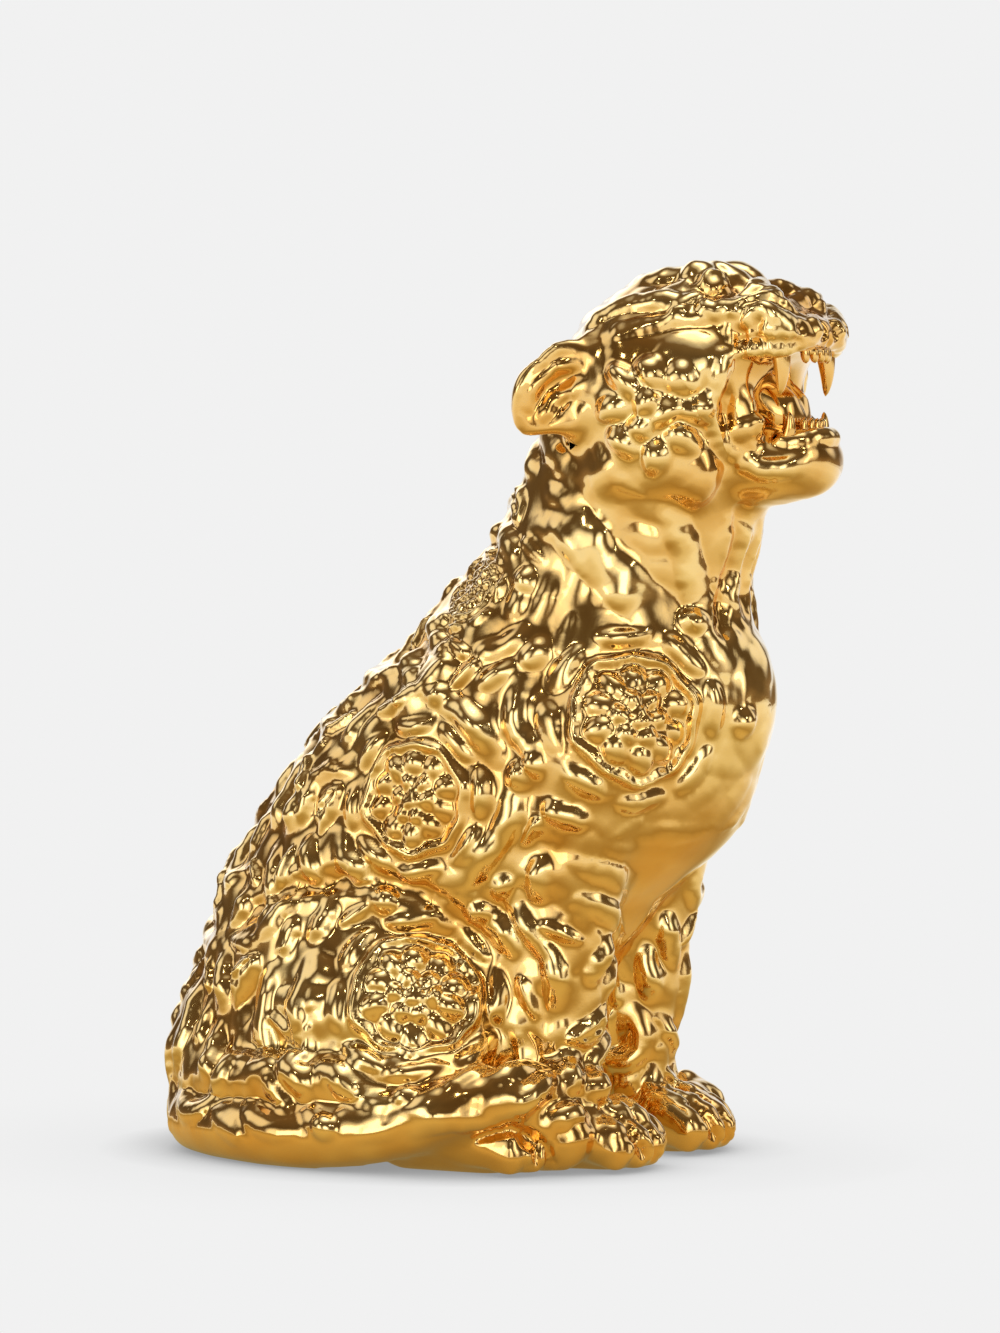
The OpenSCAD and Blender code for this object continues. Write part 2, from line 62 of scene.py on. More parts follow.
# Studio: one pale value for the floor and the background
PALE = 0.88
PALE_COLOUR = (PALE, PALE, PALE, 1)

# Spacing of the skin's points before it is subdivided
COARSE = 2.2

# Nodes that share one cast skin, with how strongly each is smoothed
SKIN_NODES = {
    "body_shell": 1.0, "right_foreleg": 0.7, "left_foreleg": 0.7,
    "right_hind_paw": 0.3, "left_hind_paw": 0.3, "tail": 0.6,
    "head_shell": 0.45, "lower_jaw": 0.3, "right_ear": 0.3, "left_ear": 0.3,
}
LEGS = ("right_foreleg", "left_foreleg", "right_hind_paw", "left_hind_paw")
PLACES = ("shoulder", "flank", "haunch", "nape")
ROUNDELS = [f"{side}_{place}_roundel" for side in SIDES for place in PLACES]

# Height of a paw at its knuckles
PAW_TOP = 26

# Slip that rounds the joints on both sides: middle and half sizes
FILLETS = {
    "mouth_corner": ((133, 24, 281), (8, 5, 15)),
    "elbow": ((44, 36, 60), (16, 15, 48)),
    "ear_tip": ((56.5, 46, 289), (9.5, 5.5, 14)),
    "toes": ((58, 56, 9), (12, 10, 9)),
    "paw_bed": ((73, 58, 14), (15, 9, 13)),
    "cheek_lining": ((120, 16, 281), (9, 6, 13)),
    "mouth_floor": ((130, 9, 277), (16, 9, 6)),
    "jaw_crease": ((117, 32, 264), (11, 9, 15)),
}

# Slip along the tail, against rump and thigh, as a row of balls
TAIL_BED = [(-96, 12, 27), (-98, -18, 27), (-88, -47, 29), (-66, -66, 31), (-38, -77, 31), (-8, -80, 32),
            (18, -77, 34), (42, -69, 33), (60, -65, 22), (68, -62, 16)]
TAIL_BED_R, TAIL_BED_BALLS = 9, 34

# Half width of the plug in the kiln vent, and the gap over the foot plate
PLUG_HALF, SEAT_GAP = 12, 0.4

# Smoothing: rounds for facets and for the bulk under scrolls, and its share at the paws
FACET_ROUNDS, BULK_ROUNDS, PAW_SHARE = 36, 50, 0.3

# Share of a node's own faces round a point inside it
INSIDE = 0.99

# The coat's cast scrolls: least height, gain after smoothing, heights where it sets in
RIDGE_FLOOR, RIDGE_GAIN, RIDGE_RISE = 0.3, 1.6, (110, 130)

# Heights over the table between which relief sets in
TABLE_FADE = (0.5, 5)

# Strokes: spots in a half width, height at the ends, and how far the skin may turn away
STROKE_SPOTS, STROKE_END, STROKE_FACING = 3, 0.25, 0.1

# Stamps: reach in radii, and how far the skin may turn away
STAMP_REACH, STAMP_FACING = 1.375, 0.2

# Walls between pieces: depth, and how far the foot is drawn to the middle
RIM_DEPTH, RIM_PULL = 6.0, 0.07

# Pieces whose edges bend too much for flat ends, and their lining: depth and evenness
LINED = (*LEGS, "tail", "head_shell", "lower_jaw")
LINING_DEPTH, LINING_ROUNDS = 1.2, 10


def smoothstep(low, high, x):
    """0 below low, 1 above high, and a smooth rise between them."""
    t = np.clip((x - low) / (high - low), 0, 1)
    return t * t * (3 - 2 * t)


def dome(q):
    """Round hump: 1 at q = 0 and nothing from |q| = 1 on."""
    return np.clip(1 - q * q, 0, 1) ** 0.7


def unit(v):
    return v / np.linalg.norm(v, axis=-1, keepdims=True)


def lengths(rows):
    return np.linalg.norm(rows, axis=1)


def off_axis(rows, axis):
    """Distance of each row from the line along an axis."""
    return lengths(rows - np.outer(rows @ axis, axis))


def curve_through(rows, count):
    """count rows on a smooth curve through the given rows."""
    rows = np.asarray(rows, float)
    last = len(rows) - 1
    t = np.linspace(0, last, count)
    i = np.minimum(t.astype(int), last - 1)
    f = (t - i)[:, None]
    before, here = rows[np.maximum(i - 1, 0)], rows[i]
    after, beyond = rows[i + 1], rows[np.minimum(i + 2, last)]
    bend = 2 * before - 5 * here + 4 * after - beyond + f * (3 * (here - after) + beyond - before)
    return here + 0.5 * f * (after - before + f * bend)


# Solids that are joined into the skin

def read(items, name, columns, kind=float):
    """Values that a mesh keeps for each of its items."""
    values = np.empty(len(items) * columns, kind)
    items.foreach_get(name, values)
    return values.reshape(-1, columns)


def node_solid(name):
    """Points and triangles of a CAD node."""
    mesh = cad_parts[name].data
    return read(mesh.vertices, "co", 3) / MM, read(mesh.polygons, "vertices", 3, int)
def node_points(name):
    return node_solid(name)[0]

def node_box(name):
    low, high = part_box(name)
    return np.array([low, high]) / MM


def ball(middle, half, rings=8, sides=12):
    """Ellipsoid as points and triangles."""
    tilt = np.pi * np.arange(1, rings) / rings
    turn = 2 * np.pi * np.arange(sides) / sides
    belt = [[math.sin(a) * math.cos(b), math.sin(a) * math.sin(b), math.cos(a)] for a in tilt for b in turn]
    points = np.array([[0, 0, 1], *belt, [0, 0, -1]])
    faces = []
    for j in range(sides):
        k = (j + 1) % sides
        faces.append([0, 1 + j, 1 + k])
        for i in range(rings - 2):
            a, b = 1 + i * sides, 1 + (i + 1) * sides
            faces += [[a + j, b + j, b + k], [a + j, b + k, a + k]]
        a = 1 + (rings - 2) * sides
        faces.append([a + j, len(points) - 1, a + k])
    return points * half + middle, np.array(faces)


def stacked(solids):
    """Several solids as one: points, and a list for each kind of face."""
    starts = np.cumsum([0] + [len(s[0]) for s in solids])
    faces = [np.concatenate([s[k] + n for s, n in zip(solids, starts)]) for k in range(1, len(solids[0]))]
    return np.concatenate([s[0] for s in solids]), *faces


# Meshes

def mesh_of(name, points, *face_lists):
    """Mesh from points in millimetres and arrays of quads or triangles."""
    mesh = bpy.data.meshes.new(name)
    corners = np.concatenate([faces.ravel() for faces in face_lists])
    sides = np.concatenate([np.full(len(faces), faces.shape[1]) for faces in face_lists])
    mesh.vertices.add(len(points))
    mesh.vertices.foreach_set("co", (points * MM).ravel())
    mesh.loops.add(len(corners))
    mesh.loops.foreach_set("vertex_index", corners)
    mesh.polygons.add(len(sides))
    mesh.polygons.foreach_set("loop_start", np.cumsum(sides) - sides)
    mesh.polygons.foreach_set("use_smooth", np.ones(len(sides), bool))
    mesh.update(calc_edges=True)
    return mesh


def add_object(name, data):
    added = bpy.data.objects.new(name, data)
    bpy.context.scene.collection.objects.link(added)
    return added


def after_modifier(points, faces, kind, marks=None, values=None, **settings):
    """Points, quads, face marks and point values of a mesh after one modifier."""
    mesh = mesh_of("work", points, faces)
    if marks is not None:
        mesh.polygons.foreach_set("material_index", marks)
    if values is not None:
        mesh.attributes.new("carried", "FLOAT", "POINT").data.foreach_set("value", values)
    work = add_object("work", mesh)
    modifier = work.modifiers.new(kind, kind)
    for name, value in settings.items():
        setattr(modifier, name, value)
    done = work.evaluated_get(bpy.context.evaluated_depsgraph_get()).to_mesh()
    new_points, quads = read(done.vertices, "co", 3) / MM, read(done.polygons, "vertices", 4, int)
    new_marks = read(done.polygons, "material_index", 1, int).ravel()
    if values is not None:
        values = read(done.attributes["carried"].data, "value", 1).ravel()
    bpy.data.objects.remove(work)
    bpy.data.meshes.remove(mesh)
    return new_points, quads, new_marks, values


def sides_of(quads):
    """Pairs of points along the sides of every quad, in its direction."""
    return np.concatenate([quads[:, [i, (i + 1) % 4]] for i in range(4)])


def edges_of(quads):
    return np.unique(np.sort(sides_of(quads), axis=1), axis=0)


def normals_of(points, quads):
    """Unit normal at every point."""
    a, b, c, d = (points[quads[:, i]] for i in range(4))
    across = np.cross(c - a, d - b)
    corners = quads.ravel()
    total = [np.bincount(corners, np.repeat(across[:, k], 4), len(points)) for k in range(3)]
    return unit(np.stack(total, 1) + 1e-12)


def relaxed(values, edges, rounds, strength=0.5):
    """Point values drawn to their neighbours' mean, round after round."""
    a, b = edges.T
    count = len(values)
    columns = values.reshape(count, -1).T.copy()
    degree = np.bincount(a, minlength=count) + np.bincount(b, minlength=count)
    for _ in range(rounds):
        for column in columns:
            mean = (np.bincount(a, column[b], count) + np.bincount(b, column[a], count)) / degree
            column += strength * (mean - column)
    return columns.T.reshape(values.shape)


def spread(face_values, quads):
    """Mean at each point of the values of the faces round it."""
    corners = quads.ravel()
    return np.bincount(corners, np.repeat(face_values, 4)) / np.bincount(corners)


def tree_of(points):
    tree = KDTree(len(points))
    for i, p in enumerate(points):
        tree.insert(p, i)
    tree.balance()
    return tree


# The cast skin

def by_majority(marks, quads, rounds):
    """Face marks after each face took the commonest one round it."""
    for _ in range(rounds):
        votes = [spread((marks == m).astype(float), quads)[quads].sum(1) for m in range(marks.max() + 1)]
        marks = np.argmax(votes, axis=0)
    return marks


def coarse_skin():
    """One closed skin round the cast nodes, and the node of each face."""
    names = [*SKIN_NODES, "foot_plate"]
    solids = [node_solid(n) for n in names]
    low, high = node_box("foot_plate")
    plug = ball((low + high) / 2, np.array([PLUG_HALF, PLUG_HALF, (high[2] - low[2]) / 2]))
    fillets = [ball(np.array([x, side * y, z]), np.array(half))
               for side in SIDES.values() for (x, y, z), half in FILLETS.values()]
    bed = [ball(place, np.full(3, TAIL_BED_R)) for place in curve_through(TAIL_BED, TAIL_BED_BALLS)]
    points, faces = stacked([*solids, plug, *fillets, *bed])
    points, quads, _, _ = after_modifier(points, faces, "REMESH", mode="VOXEL", voxel_size=COARSE * MM)
    owner = np.repeat(np.arange(len(names)), [len(f) for _, f in solids])
    tree = BVHTree.FromPolygons(*(part.tolist() for part in stacked(solids)))
    marks = np.array([owner[tree.find_nearest(m)[2]] for m in points[quads].mean(1)])
    return points, quads, by_majority(marks, quads, 4), names


def smooth_skin(points, quads, marks, names):
    """The skin with facets blended, and how far the scrolls stand out."""
    edges = edges_of(quads)
    give = np.array([SKIN_NODES.get(n, 1.0) for n in names])[marks]
    strength = relaxed(spread(give, quads), edges, 6)
    strength *= PAW_SHARE + (1 - PAW_SHARE) * smoothstep(PAW_TOP, 2 * PAW_TOP, points[:, 2])
    soft = relaxed(points, edges, FACET_ROUNDS, 0.5 * strength)
    normals = normals_of(soft, quads)
    rise = ((points - soft) * normals).sum(1)
    lost = relaxed(rise, edges, BULK_ROUNDS)
    coat = spread((marks == names.index("body_shell")).astype(float), quads) > INSIDE
    ridge = relaxed(np.clip(rise - lost - RIDGE_FLOOR, 0, None) * coat, edges, 2)
    return soft + normals * lost[:, None], ridge


def cast_skin():
    """The subdivided skin, with a seat for the foot plate."""
    points, quads, marks, names = coarse_skin()
    points, ridge = smooth_skin(points, quads, marks, names)
    plate = marks == names.index("foot_plate")
    plate_top = node_box("foot_plate")[1][2]
    seat = spread(plate.astype(float), quads) > INSIDE
    points[seat, 2] = plate_top + SEAT_GAP
    marks[plate] = names.index("body_shell")
    points, quads, marks, ridge = after_modifier(points, quads, "SUBSURF", marks, ridge,
                                                 levels=1, render_levels=1)
    return Skin(points, quads, ridge), marks, names


class Skin:
    """The skin's points and quads, with a waiting height at each point."""

    def __init__(self, points, quads, ridge):
        self.points, self.quads, self.ridge = points, quads, ridge
        self.edges = edges_of(quads)
        self.relief = np.zeros(len(points))
        self.refresh()
        self.height += ridge * (1 + (RIDGE_GAIN - 1) * smoothstep(*RIDGE_RISE, points[:, 2]))
        self.settle(0)

    def refresh(self):
        self.height = np.zeros(len(self.points))
        self.normals = normals_of(self.points, self.quads)
        self.tree = tree_of(self.points)

    def near(self, place, reach):
        """Points within reach of a place."""
        return np.array([i for _, i, _ in self.tree.find_range(place, reach)], int)

    def snapped(self, path):
        """Points nearest to each place of a path."""
        return np.array([self.tree.find(p)[1] for p in path])

    def settle(self, rounds):
        """Moves the points out by the softened height, but not at the table."""
        lift = relaxed(self.height, self.edges, rounds) * smoothstep(*TABLE_FADE, self.points[:, 2])
        self.points = self.points + self.normals * lift[:, None]
        self.points[:, 2] = np.maximum(self.points[:, 2], 0)
        self.relief += lift
        self.refresh()

    def stroke(self, path, width, height, taper=0.35):
        """Ridge along a path, or a groove where the height is below 0."""
        length = lengths(np.diff(path, axis=0)).sum()
        count = max(2, int(length / width * STROKE_SPOTS) + 1)
        spots = self.snapped(curve_through(path, count)) if len(path) > 1 else self.snapped(path)
        along = np.linspace(0, 1, len(spots))
        gain = np.clip(np.minimum(along, 1 - along) / taper + STROKE_END, 0, 1) if len(spots) > 1 else [1]
        rise = np.zeros(len(self.points))
        for spot, g in zip(spots, gain):
            ids = self.near(self.points[spot], width)
            ids = ids[self.normals[ids] @ self.normals[spot] > STROKE_FACING]
            away = lengths(self.points[ids] - self.points[spot])
            rise[ids] = np.maximum(rise[ids], g * dome(away / width))
        self.height += height * rise

    def stamp(self, place, axis, along, radius, profile, height):
        """Raises the skin by profile(u, v), u along and v across, in radii."""
        ids = self.near(place, STAMP_REACH * radius)
        ids = ids[self.normals[ids] @ axis > STAMP_FACING]
        offset = (self.points[ids] - place) / radius
        rise = height * profile(offset @ along, offset @ np.cross(axis, along))
        self.height[ids] = np.where(abs(rise) > abs(self.height[ids]), rise, self.height[ids])


# Sculpted forms

def in_box(name, rows):
    """Places in thousandths of a node's box; across, -1000 is the cat's right and 1000 its left."""
    low, high = node_box(name)
    low[1], high[1] = 0, max(abs(low[1]), abs(high[1]))
    return low + np.array(rows) / 1000 * (high - low)


def press(skin, node, strokes):
    """Strokes in a node's box: on both sides, or once down the middle."""
    for width, height, *path in strokes.values():
        path = np.array(path)
        for side in SIDES.values() if path[:, 1].any() else [1]:
            skin.stroke(in_box(node, path * (1, side, 1)), width, height)


# Forms: half width, height and places in thousandths of the node's box
BODY_FORMS = {
    "chest": (30, 3.6, (970, 120, 660), (960, 120, 560)),
    "throat": (22, 2.4, (930, 0, 840), (920, 0, 760)),
    "throat_fold": (6, 2.8, (900, 340, 870), (930, 300, 780), (950, 240, 700)),
    "throat_crease": (3.8, -3.4, (1000, 170, 865), (976, 120, 800), (957, 145, 760), (963, 200, 700)),
    "throat_middle": (4, -3, (990, 0, 840), (980, 0, 780), (975, 0, 720)),
    "neck_fold": (9, 2.6, (740, 620, 880), (820, 580, 800), (900, 460, 730)),
    "haunch": (34, 3, (300, 950, 220), (500, 1000, 200)),
    "haunch_crease": (5.4, -3.4, (160, 750, 310), (290, 800, 355), (400, 840, 375), (500, 820, 370),
        (580, 740, 345), (625, 620, 290)),
}
HEAD_BULGES = {
    "crown": (20, 3.2, (360, 0, 1000), (580, 0, 1000)),
    "nape": (24, 1.6, (100, 0, 925), (220, 0, 989)),
    "bridge": (16, -6, (800, 0, 946), (920, 0, 871)),
    "stop": (9, -2.5, (700, 0, 989), (740, 0, 968)),
    "brow": (9, 3.6, (480, 600, 890), (530, 540, 930), (575, 420, 975), (600, 260, 1000)),
    "eye_socket": (12, -4, (640, 440, 950)),
    "whisker_pad": (12, 4.5, (800, 550, 774), (880, 440, 742)),
    "cheek": (20, 3, (400, 930, 483), (520, 880, 354)),
    "jowl": (15, 3, (580, 830, 660), (630, 780, 570)),
    "chin": (13, 2, (900, 220, 200), (930, 100, 180)),
    "nose_tip": (12, -2, (1000, 0, 785), (1000, 0, 698)),
}
HEAD_FOLDS = {
    "eye": (6.4, 4.4, (640, 440, 950)),
    "upper_lid": (2.8, 2.2, (575, 560, 900), (580, 440, 950), (615, 320, 980), (680, 280, 980)),
    "tear_line": (2.6, -2.2, (700, 300, 965), (715, 420, 930), (700, 540, 880)),
    "eye_bag": (3.8, 3.2, (540, 730, 800), (565, 650, 855), (600, 590, 880), (650, 640, 840)),
    "cheek_fold": (4.4, 3.4, (360, 860, 763), (520, 790, 806), (660, 700, 833), (800, 540, 860),
        (880, 340, 876)),
    "wrinkle_back": (4.6, 3, (735, 500, 900), (750, 360, 935), (765, 200, 960), (770, 50, 970)),
    "wrinkle_front": (4.4, 2.8, (800, 460, 890), (825, 320, 915), (845, 180, 930), (855, 40, 935)),
    "lip_fold": (3.8, 3, (720, 670, 775), (780, 620, 805), (835, 575, 820), (880, 530, 795)),
    "lip_groove_back": (3, -3.2, (770, 640, 775), (775, 640, 735), (770, 640, 690)),
    "lip_groove_front": (3.2, -3.4, (825, 590, 800), (820, 600, 750), (830, 580, 690)),
    "frown": (5, 2.4, (520, 100, 1000), (620, 160, 1000), (700, 140, 989)),
    "forehead": (6, 2.8, (360, 340, 989), (460, 300, 1000), (580, 340, 978)),
    "temple": (5, 3.2, (200, 720, 800), (320, 680, 870), (440, 660, 885), (540, 660, 860)),
    "pad_crease": (2.6, -2.6, (740, 660, 760), (780, 600, 835), (860, 460, 850), (930, 280, 830)),
    "upper_lip": (3, 1.6, (720, 710, 660), (800, 600, 690), (880, 480, 690), (950, 300, 700)),
    "mouth_corner": (4.2, 4, (710, 720, 645), (660, 720, 483), (655, 600, 332), (700, 520, 278)),
    "mouth_pocket": (3.4, -2.6, (710, 660, 526), (695, 600, 397)),
    "lower_lip": (4.2, 2.4, (720, 500, 360), (800, 460, 375), (900, 400, 385), (970, 200, 385)),
    "front_lip": (4, 1.6, (985, -160, 380), (1000, 0, 380), (985, 160, 380)),
    "chin_fold": (4.5, 2.2, (740, 520, 240), (820, 460, 200), (920, 340, 220)),
    "whisker_row": (2.2, -1.8, (780, 580, 730), (850, 500, 745), (920, 360, 750)),
    "nostril": (2.8, -2.8, (975, 130, 785), (985, 110, 742)),
    "nose_wing": (3.6, 2.4, (955, 220, 806), (965, 220, 752)),
    "lip_cleft": (1.8, -1.8, (990, 0, 742), (985, 0, 677)),
}
EAR_FORMS = {
    "cup": (9, -3.6, (620, 1000, 620), (420, 1000, 450), (250, 1000, 250)),
    "rim": (3.4, 1.8, (800, 900, 800), (450, 950, 920), (120, 1000, 600), (30, 1000, 150)),
    "inner_fold": (3, 3, (700, 1000, 520), (500, 1000, 380), (340, 1000, 200)),
    "upper_fold": (2.8, 2.6, (720, 1000, 700), (500, 1000, 660), (280, 1000, 500), (180, 1000, 300)),
}


# Lines on a paw: width, height, taper, toes from the middle, squeeze across,
# and a path in shares back from the tip and up to the top
TOE_SLITS = (2.4, -2.6, 0.2, (-1, 0, 1), 0.94, [(0.46, 1), (0.2, 0.8), (0.04, 0.45), (0, 0.2)])
CLAWS = (1.7, 1.3, 0.35, (-1.5, -0.5, 0.5, 1.5), 0.9, [(0.03, 0.5), (0, 0.22)])
PAW_LENGTH, TOES = 62, 4


def toe_lines(skin, node):
    """Slits between the toes of a paw, and a claw on each toe."""
    points = node_points(node)
    paw = points[points[:, 2] < PAW_TOP]
    low, high = paw.min(0), paw.max(0)
    length = min(high[0] - low[0], PAW_LENGTH)
    middle, pitch = (low[1] + high[1]) / 2, (high[1] - low[1]) / TOES
    for width, height, taper, steps, squeeze, shares in (TOE_SLITS, CLAWS):
        for step in steps:
            y = middle + step * pitch * squeeze
            path = [(high[0] - back * length, y, up * high[2]) for back, up in shares]
            skin.stroke(np.array(path), width, height, taper)


def sculpt(skin):
    press(skin, "body_shell", BODY_FORMS)
    press(skin, "head_shell", HEAD_BULGES)
    press(skin, "right_ear", EAR_FORMS)
    skin.settle(rounds=3)
    press(skin, "head_shell", HEAD_FOLDS)
    for node in LEGS:
        toe_lines(skin, node)
    skin.settle(rounds=1)


# Ornament

def petals(u, v, count, ring, long, wide, turn=0.0):
    """Ring of round petals."""
    r, angle = np.hypot(u, v), np.arctan2(v, u) - turn
    pitch = 2 * np.pi / count
    angle = np.mod(angle + pitch / 2, pitch) - pitch / 2
    return dome(np.hypot((r * np.cos(angle) - ring) / long, r * np.sin(angle) / wide))


def rosette(u, v):
    """Flower in a scalloped rim with a wreath of lobes."""
    u, v = u + 0.02 * np.sin(9 * v + 1), v + 0.02 * np.sin(8 * u)
    r, turn = np.hypot(u, v), np.arctan2(v, u)
    outer = 0.9 * petals(u, v, 10, 0.44, 0.16, 0.14)
    inner = petals(u, v, 6, 0.22, 0.11, 0.11, 0.4)
    heart = petals(u, v, 3, 0.07, 0.085, 0.085)
    rim = dome((r - 0.665 - 0.018 * np.cos(10 * turn)) / 0.06)
    wreath = (0.9 + 0.15 * np.sin(3 * turn)) * petals(u, v, 8, 0.885, 0.12, 0.32, 0.1)
    moat = -0.35 * dome((r - 0.75) / 0.06)
    return np.max([outer, inner, heart, rim, wreath], axis=0) + moat


def cheek_flower(u, v):
    """Loose flower of uneven lumps."""
    u, v = u + 0.06 * np.sin(5 * v + 1), v + 0.06 * np.sin(6 * u)
    outer = (0.8 + 0.2 * np.sin(3 * np.arctan2(v, u))) * petals(u, v, 8, 0.68, 0.30, 0.26)
    return np.maximum(outer, 0.9 * petals(u, v, 3, 0.24, 0.27, 0.24, 0.5))


def leaf(u, v):
    """Pointed, bent leaf with a midrib and slanted veins."""
    v = v - 0.25 * (u * u - 0.3)
    t = np.clip((u + 1) / 2, 0, 1)
    half = 0.55 * np.sin(np.pi * t ** 0.8) + 1e-6
    veins = 1 - 0.12 * np.cos(11 * (u - 0.8 * np.abs(v)))
    midrib = 1 - 0.5 * np.exp(-((v / 0.09) ** 2))
    return dome(v / half) * veins * midrib * (t > 0) * (t < 1)


def bud(u, v):
    """Drop with its round end first."""
    t = np.clip((u + 1) / 2, 0, 1)
    half = np.sqrt(t * np.clip(1.02 - t, 0, 1)) * (0.5 + 0.6 * t) + 1e-6
    return dome(v / half) * (np.abs(u) < 1)


def shell(u, v):
    """Fan of lobes that spring from one end."""
    r, turn = np.hypot(u + 0.8, v), np.arctan2(v, u + 0.8)
    lobes = np.abs(np.cos(turn * 3.2))
    return dome(r / (1.3 + 0.35 * lobes)) * (0.4 + 0.6 * lobes) * smoothstep(1.25, 1.0, np.abs(turn))


def pebble(u, v):
    return dome(np.hypot(u, 1.2 * v))


# Waves in a random swell, and the sum that counts as 1
WAVES, WAVE_PEAK = 40, 8


def ripple(points, rng, shortest, longest):
    """Slow random swell, from about -1 to 1."""
    total = np.zeros(len(points))
    for _ in range(WAVES):
        way = unit(rng.normal(size=3)) * 2 * np.pi / rng.uniform(shortest, longest)
        total += np.sin(points @ way + rng.uniform(0, 2 * np.pi))
    return total / WAVE_PEAK


def roundel_frames():
    """Middle, axis, upward direction and radius of each roundel."""
    frames = {}
    for name in ROUNDELS:
        points = node_points(name)
        middle = points.mean(0)
        offset = points - middle
        axis = np.linalg.svd(offset, full_matrices=False)[2][2]
        axis *= np.sign(axis[1] * middle[1])
        upward = unit(np.array([0, 0, 1]) - axis * axis[2])
        frames[name] = (middle, axis, upward, off_axis(offset, axis).max())
    return frames


# How strongly each node carries the ornament
ORNATE = {"body_shell": 1.0, "right_foreleg": 1.0, "left_foreleg": 1.0, "tail": 0.8, "head_shell": 0.9}

# Where the ornament fades: how much, and over which facings, heights and lengths
CHEST_FADE, CHEST_FACING, CHEST_RISE = 0.8, (0.35, 0.8), (90, 110)
THROAT_FADE, THROAT_RISE, THROAT_REACH = 0.75, (178, 205), (30, 70)
THROAT_SLOPE, THROAT_FOOT = 0.35, 60
FACE_REACH, FACE_RISE = (0.34, 0.55), 12
UNDER_FADE, UNDER_FACING = 0.9, (0.3, 0.7)


def ornament_gain(skin, marks, names):
    """Strength of the ornament at each point, from 0 to 1."""
    owner = np.zeros(len(skin.points), int)
    owner[skin.quads.ravel()] = np.repeat(marks, 4)
    gain = np.array([ORNATE.get(n, 0.0) for n in names])[owner]
    x, _, z = skin.points.T
    forward = smoothstep(*CHEST_FACING, skin.normals[:, 0])
    gain *= 1 - CHEST_FADE * forward * smoothstep(*CHEST_RISE, z)
    throat = smoothstep(*THROAT_RISE, z - THROAT_SLOPE * (x - THROAT_FOOT))
    gain *= 1 - THROAT_FADE * throat * smoothstep(*THROAT_REACH, x)
    low, high = node_box("head_shell")
    face = smoothstep(*FACE_REACH, (x - low[0]) / (high[0] - low[0]))
    gain *= 1 - face * smoothstep(low[2], low[2] + FACE_RISE, z)
    under = smoothstep(*UNDER_FACING, -skin.normals[:, 2])
    gain *= smoothstep(PAW_TOP * 0.4, PAW_TOP, z) * (1 - UNDER_FADE * under)
    return relaxed(gain, skin.edges, 4)


# Room of a roundel, in radii; height from which a cast scroll takes room, and how much
ROUNDEL_ROOM, RIDGE_SEEN, RIDGE_ROOM = 1.04, 1.0, 3

# Least strength of the ornament for a motif, a ribbon and a scroll
MOTIF_LEAST, RIBBON_LEAST, SCROLL_LEAST = 0.15, 0.12, 0.2

# Ribbons: length of a step, fewest points, and rows of width, length and height
RIBBON_STEP, RIBBON_FEWEST = 3.0, 6
RIBBONS = [(5.0, 80, 4.0), (3.8, 50, 3.2)]


class Layout:
    """Room for ornament at each point, and which way it flows."""

    def __init__(self, skin, gain, frames, rng):
        self.skin, self.gain, self.rng = skin, gain, rng
        self.middles, self.axes, _, radii = map(np.array, zip(*frames.values()))
        reach = [lengths(skin.points - m) - ROUNDEL_ROOM * r for m, r in zip(self.middles, radii)]
        self.clear = np.min(reach, axis=0)
        self.order = rng.permutation(len(skin.points))
        for i in np.flatnonzero(skin.ridge > RIDGE_SEEN):
            if self.clear[i] > -1:
                self.take(i, RIDGE_ROOM)

    def free(self, size):
        """Points in random order that have that much room."""
        for i in self.order:
            if self.clear[i] > size and self.gain[i] > MOTIF_LEAST:
                yield i

    def take(self, i, size, look=16):
        ids = self.skin.near(self.skin.points[i], size + look)
        away = lengths(self.skin.points[ids] - self.skin.points[i]) - size
        self.clear[ids] = np.minimum(self.clear[ids], away)

    def lay(self, path, width, height, taper):
        """Raises a band along a path of points and takes its room."""
        self.skin.stroke(self.skin.points[path], width, height * self.gain[path].mean(), taper)
        for i in path:
            self.take(i, 0.9 * width)

    def flow(self, i, lean):
        """Direction at a point: round the nearest roundel, turned by lean."""
        place, axis = self.skin.points[i], self.skin.normals[i]
        nearest = np.argmin(lengths(self.middles - place))
        swirl = np.cross(self.axes[nearest], place - self.middles[nearest])
        swirl = unit(swirl - axis * (swirl @ axis) + 1e-6)
        return math.cos(lean) * swirl + math.sin(lean) * np.cross(axis, swirl)

    def ribbon(self, start, width, length):
        """Curling path of points that stops where the room ends."""
        lean, curl = self.rng.uniform(-0.5, 0.5), self.rng.choice([-1, 1]) * self.rng.uniform(0.01, 0.045)
        path, i = [start], start
        for step in range(int(length / RIBBON_STEP)):
            lean += curl * RIBBON_STEP * (0.2 + step * 0.12)
            i = self.skin.snapped([self.skin.points[i] + RIBBON_STEP * self.flow(i, lean)])[0]
            if self.clear[i] < width or self.gain[i] < RIBBON_LEAST or i == path[-1]:
                break
            path.append(i)
        return path


# Rows of arcs round a roundel: reach in radii, turn of the first one, width and height
SCROLL_ROWS = [(1.20, 0.3, 5.4, 4.6), (1.55, 0.8, 5.0, 4.2)]

# Arcs in a row, their sweep and bud; points in each, fewest kept, farthest step to the skin
SCROLL_COUNT, SCROLL_SWEEP, SCROLL_BUD = 4, 1.3, 6.0
SCROLL_POINTS, SCROLL_FEWEST, SCROLL_OFF = 11, 5, 24


